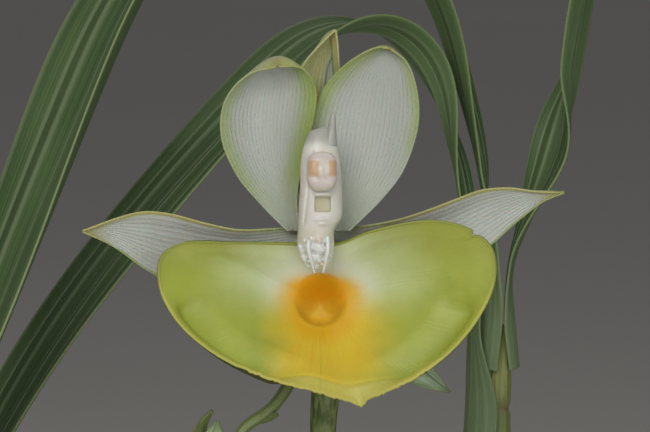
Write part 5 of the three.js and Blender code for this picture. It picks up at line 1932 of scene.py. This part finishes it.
@dataclass
class LeafBlade:
    """A pleated leaf whose foot clasps the leading pseudobulb's stem."""

    number: int
    foot: float
    wrap: float
    clasp: float
    length: float
    width: float
    heading: Pairs
    lean: Pairs
    twist: Pairs
    half_width: Pairs = (
        (0, 0.3), (0.1, 0.22), (0.2, 0.42), (0.36, 0.84), (0.5, 1), (0.7, 0.86), (0.88, 0.42), (1, 0.03)
    )
    keel: Pairs = ((0, 0), (0.08, 8), (0.16, 24), (0.3, 18), (0.5, 12), (1, 18))
    pleat: Pairs = ((0, 0), (0.1, 3), (0.25, 15), (0.8, 15), (1, 4))
    pleats: int = 3
    thickness: float = 0.8
    rows: int = 190
    half_columns: int = 30

    def outward(self, at: float) -> np.ndarray:
        """The leaf's bearing at a distance along its midrib."""
        heading = math.radians(eased(self.heading, at))
        return np.array([math.cos(heading), math.sin(heading), 0.0])

    def forward(self, at: float) -> np.ndarray:
        """The way the midrib runs at a distance along it."""
        lean = math.radians(eased(self.lean, at))
        return self.outward(at) * math.sin(lean) + np.array([0, 0, math.cos(lean)])

    def grid(self, bulb: Pseudobulb) -> tuple[np.ndarray, Values]:
        """Lays the blade row by row along its midrib.

        Args:
            bulb: The bulb that it clasps.

        Returns:
            Its points and the values that its finish reads.
        """
        share = (self.foot - bulb.foot[2]) / (bulb.top[2] - bulb.foot[2])
        clasp_radius = (float(bulb.radius(share)) + GAP + self.thickness) * 1.05 + 0.3
        place = bulb.at(share) + self.outward(0.0) * clasp_radius
        distances = self.length * np.linspace(0, 1, self.rows + 1) ** 1.35
        rows = []
        for at, after in zip(distances, [*distances[1:], distances[-1]]):
            rows.append(self.section(place, at, clasp_radius))
            steps = 3
            for k in range(steps):
                place = place + self.forward(at + (k + 0.5) * (after - at) / steps) * (after - at) / steps
        across = np.linspace(0, 1, 2 * self.half_columns + 1)[None]
        along = (distances / self.length)[:, None]
        crest = np.abs(np.cos(math.pi * self.pleats * (across * 2 - 1)))
        return np.array(rows), {
            "across": across + along * 0, "along": along + across * 0, "rib": crest + along * 0
        }

    def section(self, middle: np.ndarray, at: float, clasp_radius: float) -> np.ndarray:
        """One row of points across the blade, bent by a curl, a keel at the midrib and pleats."""
        t = at / self.length
        outward, forward = self.outward(at), self.forward(at)
        up = -outward * forward[2] + np.array([0, 0, forward @ outward])
        twist = math.radians(eased(self.twist, at))
        up = up * math.cos(twist) + np.cross(forward, up) * math.sin(twist)
        side = np.cross(forward, up)
        clasping = 1 - float(smoothstep(self.clasp * 0.3, self.clasp, at))
        wrap = math.radians(self.wrap) * clasping
        blade = self.width / 2 * max(float(through(self.half_width, t)), 0.02)
        reach = blade + (clasp_radius * math.radians(self.wrap) - blade) * clasping
        keel, pleat = (math.radians(float(through(pairs, t))) for pairs in (self.keel, self.pleat))
        n = self.half_columns
        w = (np.arange(n) + 0.5) / n
        fold = np.tanh(2.4 * np.sin(math.pi * self.pleats * w)) / math.tanh(2.4)
        bend = wrap * w + keel + pleat * fold
        step = reach / n
        out, rise = np.cumsum(np.cos(bend)) * step, np.cumsum(np.sin(bend)) * step
        flutter = 0.5 * math.sin(at * 0.055 + self.number) * (1 - clasping) * w**3
        rise = rise + flutter * reach * 0.12
        right = middle + side * out[:, None] + up * rise[:, None]
        left = middle - side * out[:, None] + up * rise[:, None]
        return np.vstack([left[::-1], middle[None], right])

    def build(self, bulb: Pseudobulb, trees: Trees, finish: Material) -> Piece:
        """Builds and dresses the leaf."""
        grid, values = self.grid(bulb)
        draft = MeshDraft()
        rim = np.minimum(values["across"], 1 - values["across"])
        thickness = self.thickness * (0.5 + 0.5 * smoothstep(0.0, 0.05, rim))
        add_blade_shell(draft, grid, thickness, values)
        piece = draft.build(f"leaf_blade_{self.number}", finish)
        trees.veins.apply(piece, finish, veins=14.0, height=0.04 * MM, beads=0.0)
        hand_over(piece, "leaf", f"leaf_{self.number}")
        return piece


def make_leaves() -> list[LeafBlade]:
    """The six leaves, in two ranks."""
    return [
        LeafBlade(
            1,
            184,
            62,
            30,
            310,
            20,
            ((0, 206.5), (1, 212.8)),
            ((0, -4), (16, -2), (40, 5.1), (76, 17.4), (137, 130), (310, 158)),
            ((0, 0), (30, 0), (60, -60), (95, 10.9), (140, -7.4)),
        ),
        LeafBlade(
            2,
            204,
            54,
            24,
            240,
            32,
            ((0, -2.8), (1, -2.8)),
            ((0, -6), (14, -6), (32, 24), (80, 9), (150, 34), (240, 112)),
            ((0, 0), (24, 0), (50, 38), (72, -5), (98, -1), (240, 2)),
        ),
        LeafBlade(
            3,
            204,
            54,
            24,
            370,
            36,
            ((0, 209.4), (90, 218.8), (210, 225.6)),
            ((0, -7), (12, -6), (26, 3.7), (61, 19.8), (208.9, 149.4), (370, 155.5)),
            ((0, 0), (24, 0), (48, -48.3), (88.4, -33), (190, 19.1)),
        ),
        LeafBlade(
            4,
            146,
            66,
            28,
            236,
            38,
            ((0, -14), (1, -14)),
            ((0, 0), (12, 8), (34, 60), (64, 96), (140, 142), (236, 152)),
            ((0, 0), (236, 14)),
        ),
        LeafBlade(
            5,
            136,
            66,
            28,
            226,
            37,
            ((0, 214), (1, 214)),
            ((0, 0), (12, 8), (34, 62), (62, 98), (140, 146), (226, 154)),
            ((0, 0), (226, -16)),
        ),
        LeafBlade(
            6,
            122,
            66,
            28,
            180,
            33,
            ((0, 20), (1, 20)),
            ((0, 4), (12, 10), (34, 60), (62, 100), (110, 140), (180, 150)),
            ((0, 0), (180, 18)),
        ),
    ]


@dataclass
class Rhizome:
    """The creeping stem that joins the pseudobulbs, with roots that run out over the bark."""

    start: Point = (-40, 3.2, 92.5)
    stop: Point = (33, 20, 93)
    radius: float = 4.0
    roots: Sequence[tuple[float, int, float, float]] = (
        (0.08, -1, 31, -14), (0.1, 1, 26, -12), (0.28, -1, 43, 14), (0.42, 1, 37, -14),
        (0.62, -1, 46, -14), (0.94, -1, 36, 9), (0.86, 1, 25, -10),
    )
    root_radius: float = 1.25
    bark_ceiling: float = 101.5
    rows: int = 120

    def root_path(self, at: float, side: int, reach: float, turn: float) -> np.ndarray:
        """A root that climbs from the rhizome under the swelling of the bulb and then lies on the bark."""
        low, high = np.array(self.start, float), np.array(self.stop, float)
        start = low + (high - low) * at
        along = unit((high - low) * (1, 1, 0))
        out = np.array([-along[1], along[0], 0]) * side
        lying = self.bark_ceiling + self.root_radius + 0.5

        def place(distance: float, height: float, degrees: float) -> tuple[float, ...]:
            """A point of the root at a distance from the rhizome, turned aside by some degrees."""
            angle = math.radians(degrees)
            c, s = math.cos(angle), math.sin(angle)
            heading = np.array([out[0] * c - out[1] * s, out[0] * s + out[1] * c, 0])
            return tuple(np.append((start + heading * distance)[:2], height))

        knots = [
            place(1.5, start[2], 0), place(6, start[2] + 2, 0), place(10.5, 96.8, 0), place(14.5, 100.2, 0)
        ]
        knots += [place(18.5, lying + 0.6, turn * 0.1), place(reach * 0.72, lying, turn * 0.5)]
        knots += [place(reach * 0.88, lying + 0.4, turn), place(reach, lying - 0.1, turn * 1.4)]
        return smooth_path(knots, self.rows)

    def build(self, trees: Trees) -> Piece:
        """Builds and dresses the rhizome with its roots."""
        share = np.linspace(0, 1, self.rows)
        body = np.array(self.start) + (np.array(self.stop) - np.array(self.start)) * share[:, None]
        rings = 1 + 0.06 * np.abs(np.cos(share * 30)) ** 8
        lines = [
            (body, through(((0, 2), (0.08, self.radius), (0.9, self.radius), (1, 1.6)), share) * rings)
        ]
        taper = through(((0, self.root_radius), (0.8, self.root_radius), (1, 0.6)), share)
        lines += [(self.root_path(*root), taper) for root in self.roots]
        finish = RootFinish().material()
        piece = trees.stem.apply(
            line_object("rhizome_and_roots", lines), finish, lump_height=0.5 * MM, lump_size=3 * MM
        )
        hand_over(piece, "root", "rhizome_with_roots")
        return piece


# The pot


@dataclass
class ClayPot:
    """A plain thrown pot with a collar and four drain holes."""

    height: float = 110.0
    rim_radius: float = 60.0
    collar_height: float = 23.0
    collar_step: float = 3.5
    base_radius: float = 42.0
    wall: float = 5.0
    floor: float = 7.0
    edge: float = 1.4
    drain_radius: float = 5.0
    drain_ring: float = 22.0
    drain_count: int = 4
    sides: int = 180

    def outer_radius(self, height: float) -> float:
        """The outside of the wall below the collar."""
        share = height / (self.height - self.collar_height)
        return self.base_radius + (self.rim_radius - 1 - self.collar_step - self.base_radius) * share

    def inner_radius(self, height: float) -> float:
        """The inside of the wall."""
        share = (height - self.floor) / (self.height - self.floor)
        return self.base_radius - self.wall + (self.rim_radius - self.base_radius) * share

    def profile(self) -> np.ndarray:
        """The pot's section from the middle of its underside, round the rim, to the middle of its floor."""
        foot = self.height - self.collar_height
        knots = [(0.5, 0.0), (self.base_radius - self.edge, 0.0), (self.outer_radius(self.edge), self.edge)]
        knots += [(self.outer_radius(foot), foot), (self.rim_radius - 1, foot + self.edge)]
        knots += [(self.rim_radius, self.height - self.edge), (self.rim_radius - self.edge, self.height)]
        knots += [
            (self.inner_radius(self.height) + 0.8, self.height),
            (self.inner_radius(self.height - self.edge), self.height - self.edge),
        ]
        knots += [(self.inner_radius(self.floor), self.floor), (0.5, self.floor)]
        points = [np.array(knots[0])]
        for a, b in zip(knots, knots[1:]):
            a, b = np.array(a), np.array(b)
            count = max(2, int(np.linalg.norm(b - a) / 1.2))
            points += [a + (b - a) * k / count for k in range(1, count + 1)]
        line = np.array(points)
        soft = line.copy()
        soft[1:-1] = (line[:-2] + 2 * line[1:-1] + line[2:]) / 4
        return soft

    def build(self) -> Piece:
        """Builds and dresses the pot."""
        line = self.profile()
        turn = turns(self.sides)[None]
        radius, height = line[:, :1], line[:, 1:]
        wall = smoothstep(8, 30, radius)
        hand = 0.12 * np.sin(height * 1.1) + 0.1 * np.sin(
            3 * turn + height * 0.03
        ) + 0.05 * np.sin(height * 2.7 + 1)
        radius = radius + hand * wall * smoothstep(0.5, 3.0, height)
        grid = np.stack([radius * np.cos(turn), radius * np.sin(turn), height + turn * 0], axis=-1)
        draft = MeshDraft()
        first = draft.add_grid(grid, wraps=True)
        ring = first + np.arange(self.sides)
        draft.add_fan((0, 0, 0), ring[::-1])
        draft.add_fan((0, 0, self.floor), ring + (len(line) - 1) * self.sides)
        finish = ClayFinish(height=self.height).material()
        piece = draft.build("clay_pot", finish)
        self.drill(piece)
        hand_over(piece, "clay", "pot")
        return piece

    def drill(self, piece: Piece) -> None:
        """Cuts the drain holes through the floor."""
        draft = MeshDraft()
        for k in range(self.drain_count):
            turn = (k + 0.5) * 2 * math.pi / self.drain_count
            x, y = self.drain_ring * math.cos(turn), self.drain_ring * math.sin(turn)
            path = np.array([(x, y, z) for z in (-4.0, 3.0, self.floor + 4.0)])
            add_tube(draft, path, np.full(3, self.drain_radius), 40)
        cutter = draft.build("cutter", piece.data.materials[0])
        cut = piece.modifiers.new("drain", "BOOLEAN")
        cut.object, cut.operation, cut.solver = cutter, "DIFFERENCE", "EXACT"
        graph = bpy.context.evaluated_depsgraph_get()
        mesh = bpy.data.meshes.new_from_object(
            piece.evaluated_get(graph), preserve_all_data_layers=True, depsgraph=graph
        )
        piece.modifiers.remove(cut)
        piece.data = mesh
        bpy.data.objects.remove(cutter)


@dataclass
class PottingMix:
    """Bark chips over a filled pot."""

    pot: ClayPot
    top: float = 95.0
    dome: float = 2.0
    clearance: float = 0.65
    give: float = 0.5
    rows: int = 46
    sides: int = 150

    def build(self, trees: Trees) -> Piece:
        """Builds and dresses the mix."""
        low = self.pot.floor + GAP
        outer = self.pot.inner_radius(self.top) - self.clearance
        foot = self.pot.inner_radius(low) - self.clearance
        turn = turns(self.sides)[None]
        share = np.linspace(0.02, 1, self.rows)[:, None]
        radius = outer * share
        lumps = 0.8 * np.sin(radius * 0.5 + 3 * np.sin(turn * 4)) + 0.7 * np.sin(turn * 11 + radius * 0.35)
        height = self.top + self.dome * (1 - share**2) + lumps * (1 - share**8) - 0.8
        top = np.stack([radius * np.cos(turn), radius * np.sin(turn), height + turn * 0], axis=-1)
        wall_share = np.linspace(0, 1, 12)[1:, None]
        wall_radius = outer + (foot - outer) * wall_share
        wall = np.stack(
            [
                wall_radius * np.cos(turn),
                wall_radius * np.sin(turn),
                self.top - 0.8 + (low - self.top) * wall_share + turn * 0,
            ],
            axis=-1,
        )
        grid = np.concatenate([top, wall], axis=0)[:, ::-1]
        bed = np.concatenate([smoothstep(1.0, 0.9, share) + turn * 0, wall[..., 0] * 0], axis=0)
        draft = MeshDraft()
        first = draft.add_grid(grid[:, ::-1], wraps=True, values={"bed": bed, "tone": 0.1})
        ring = first + np.arange(self.sides)
        draft.add_fan((0, 0, self.top + self.dome - 0.8), ring[::-1], {"bed": 1.0, "tone": 0.1})
        draft.add_fan((0, 0, low), ring + (len(grid) - 1) * self.sides, {"tone": 0.1})
        finish = BarkFinish().material()
        piece = draft.build("bark_mix", finish)
        piece = trees.chips.apply(piece, finish)
        self.press_in(piece)
        hand_over(piece, "bark", "potting_mix")
        return piece

    def press_in(self, piece: Piece) -> None:
        """Presses the chips that reach into the pot's wall back against its inside."""
        places = np.empty(len(piece.data.vertices) * 3)
        piece.data.vertices.foreach_get("co", places)
        places = places.reshape(-1, 3) / MM
        radius = np.hypot(places[:, 0], places[:, 1])
        start = self.pot.inner_radius(places[:, 2]) - self.clearance - self.give
        past = np.maximum(radius - start, 0.0)
        kept = np.where(past > 0, start + self.give * (1 - np.exp(-past / self.give)), radius)
        places[:, :2] *= (kept / np.maximum(radius, 1e-6))[:, None]
        piece.data.vertices.foreach_set("co", (places * MM).ravel())
        piece.data.update()


# The room


class LightKind(Enum):
    """What a lamp is for."""

    KEY = "key"
    FILL = "fill"
    TOP = "top"


@dataclass(frozen=True)
class SoftLamp:
    """A broad lamp that looks at the flower."""

    kind: LightKind
    place: Point
    width: float
    power: float
    colour: tuple[float, float, float] = (1.0, 0.98, 0.95)

    def build(self, target: np.ndarray) -> None:
        """Hangs the lamp and turns it to its target."""
        lamp = bpy.data.lights.new(self.kind.value, "AREA")
        lamp.shape, lamp.size, lamp.energy, lamp.color = "DISK", self.width * MM, self.power, self.colour
        item = bpy.data.objects.new(self.kind.value, lamp)
        item.location = Vector(self.place) * MM
        item.rotation_euler = (Vector(target) - Vector(self.place)).to_track_quat("-Z", "Y").to_euler()
        item.visible_camera = False
        bpy.context.scene.collection.objects.link(item)


@dataclass
class Studio:
    """The pale floor, the soft lamps and the camera at the photograph's angle."""

    floor_radius: float = 16000.0
    floor_rings: tuple[float, float] = (400.0, 2000.0)
    floor_sides: int = 96
    distance: float = 550.0
    pixel: float = 0.18
    photo_width: int = 650
    photo_middle: tuple[float, float] = (325.0, 216.0)
    flower_pixel: tuple[float, float] = (318.0, 240.0)
    sensor: float = 36.0
    lamps: Sequence[SoftLamp] = field(default_factory=lambda: (
        SoftLamp(LightKind.KEY, (-230, -820, 700), 520, 3.3),
        SoftLamp(LightKind.FILL, (300, -860, 300), 600, 1.7, (0.95, 0.98, 1.0)),
        SoftLamp(LightKind.TOP, (60, 200, 1200), 900, 1.9),
    ))
    sky: float = 0.12

    def build(self) -> None:
        """Sets the floor, the lamps, the sky and the camera."""
        self.lay_floor()
        for lamp in self.lamps:
            lamp.build(np.array(FLOWER.origin))
        world = bpy.data.worlds.new("sky")
        world.use_nodes = True
        background = world.node_tree.nodes["Background"]
        background.inputs["Color"].default_value = (1.0, 1.0, 1.0, 1.0)
        background.inputs["Strength"].default_value = self.sky
        scene = bpy.context.scene
        scene.world = world
        scene.view_settings.view_transform = "Standard"
        self.set_camera()

    def lay_floor(self) -> None:
        """A wide disc under the pot."""
        draft = MeshDraft()
        turn = turns(self.floor_sides)[None]
        radius = np.array([*self.floor_rings, self.floor_radius])[:, None]
        grid = np.stack([radius * np.cos(turn), radius * np.sin(turn), radius * 0 + turn * 0], axis=-1)
        first = draft.add_grid(grid[:, ::-1], wraps=True)
        draft.add_fan((0, 0, 0), (first + np.arange(self.floor_sides))[::-1])
        floor = draft.build("floor", FloorFinish().material())

    def set_camera(self) -> None:
        """Stands the camera where the photograph was taken from."""
        tilt = FLOWER.tilt
        up = np.array([0.0, -math.sin(tilt), math.cos(tilt)])
        ahead = np.array([0.0, math.cos(tilt), math.sin(tilt)])
        right = (self.photo_middle[0] - self.flower_pixel[0]) * self.pixel
        rise = (self.flower_pixel[1] - self.photo_middle[1]) * self.pixel
        target = np.array(FLOWER.origin) + np.array([right, 0, 0]) + up * rise
        data = bpy.data.cameras.new("camera")
        data.sensor_width = self.sensor
        data.lens = self.distance / self.pixel * self.sensor / self.photo_width
        data.clip_end = 100.0
        camera = bpy.data.objects.new("camera", data)
        camera.location = Vector((target - ahead * self.distance) * MM)
        camera.rotation_euler = Vector(ahead).to_track_quat("-Z", "Y").to_euler()
        bpy.context.scene.collection.objects.link(camera)
        bpy.context.scene.camera = camera


def main() -> None:
    """Builds every piece, from the pot up to the flower."""
    logging.basicConfig(level=logging.INFO, format="%(name)s: %(message)s")
    trees = Trees()
    Studio().build()
    pot = ClayPot()
    pot.build()
    PottingMix(pot).build(trees)
    Rhizome().build(trees)
    bulbs = make_bulbs()
    sheath_finish = DrySheathFinish().material()
    for bulb in bulbs:
        bulb.build(trees, BulbFinish(f"bulb_{bulb.name}", internodes=bulb.internodes).material())
        bulb.build_sheath(sheath_finish)
    leaf_finish = LeafFinish().material()
    for leaf in make_leaves():
        leaf.build(bulbs[0], trees, leaf_finish)
    FlowerSpike().build(trees)
    for blade in make_blades():
        blade.build(trees)
    LipBowl().build()
    ColumnBody().build(trees)
    AntherCap().build()
    Bud("bud_small", (12.5, 21.4, -21.5), (24.6, 20, -28.6), 2.7).build()
    Bud("bud_large", (-20.3, 9.2, -48), (-18.4, 8.6, -33.1), 4.3).build()


if __name__ == "__main__":
    main()
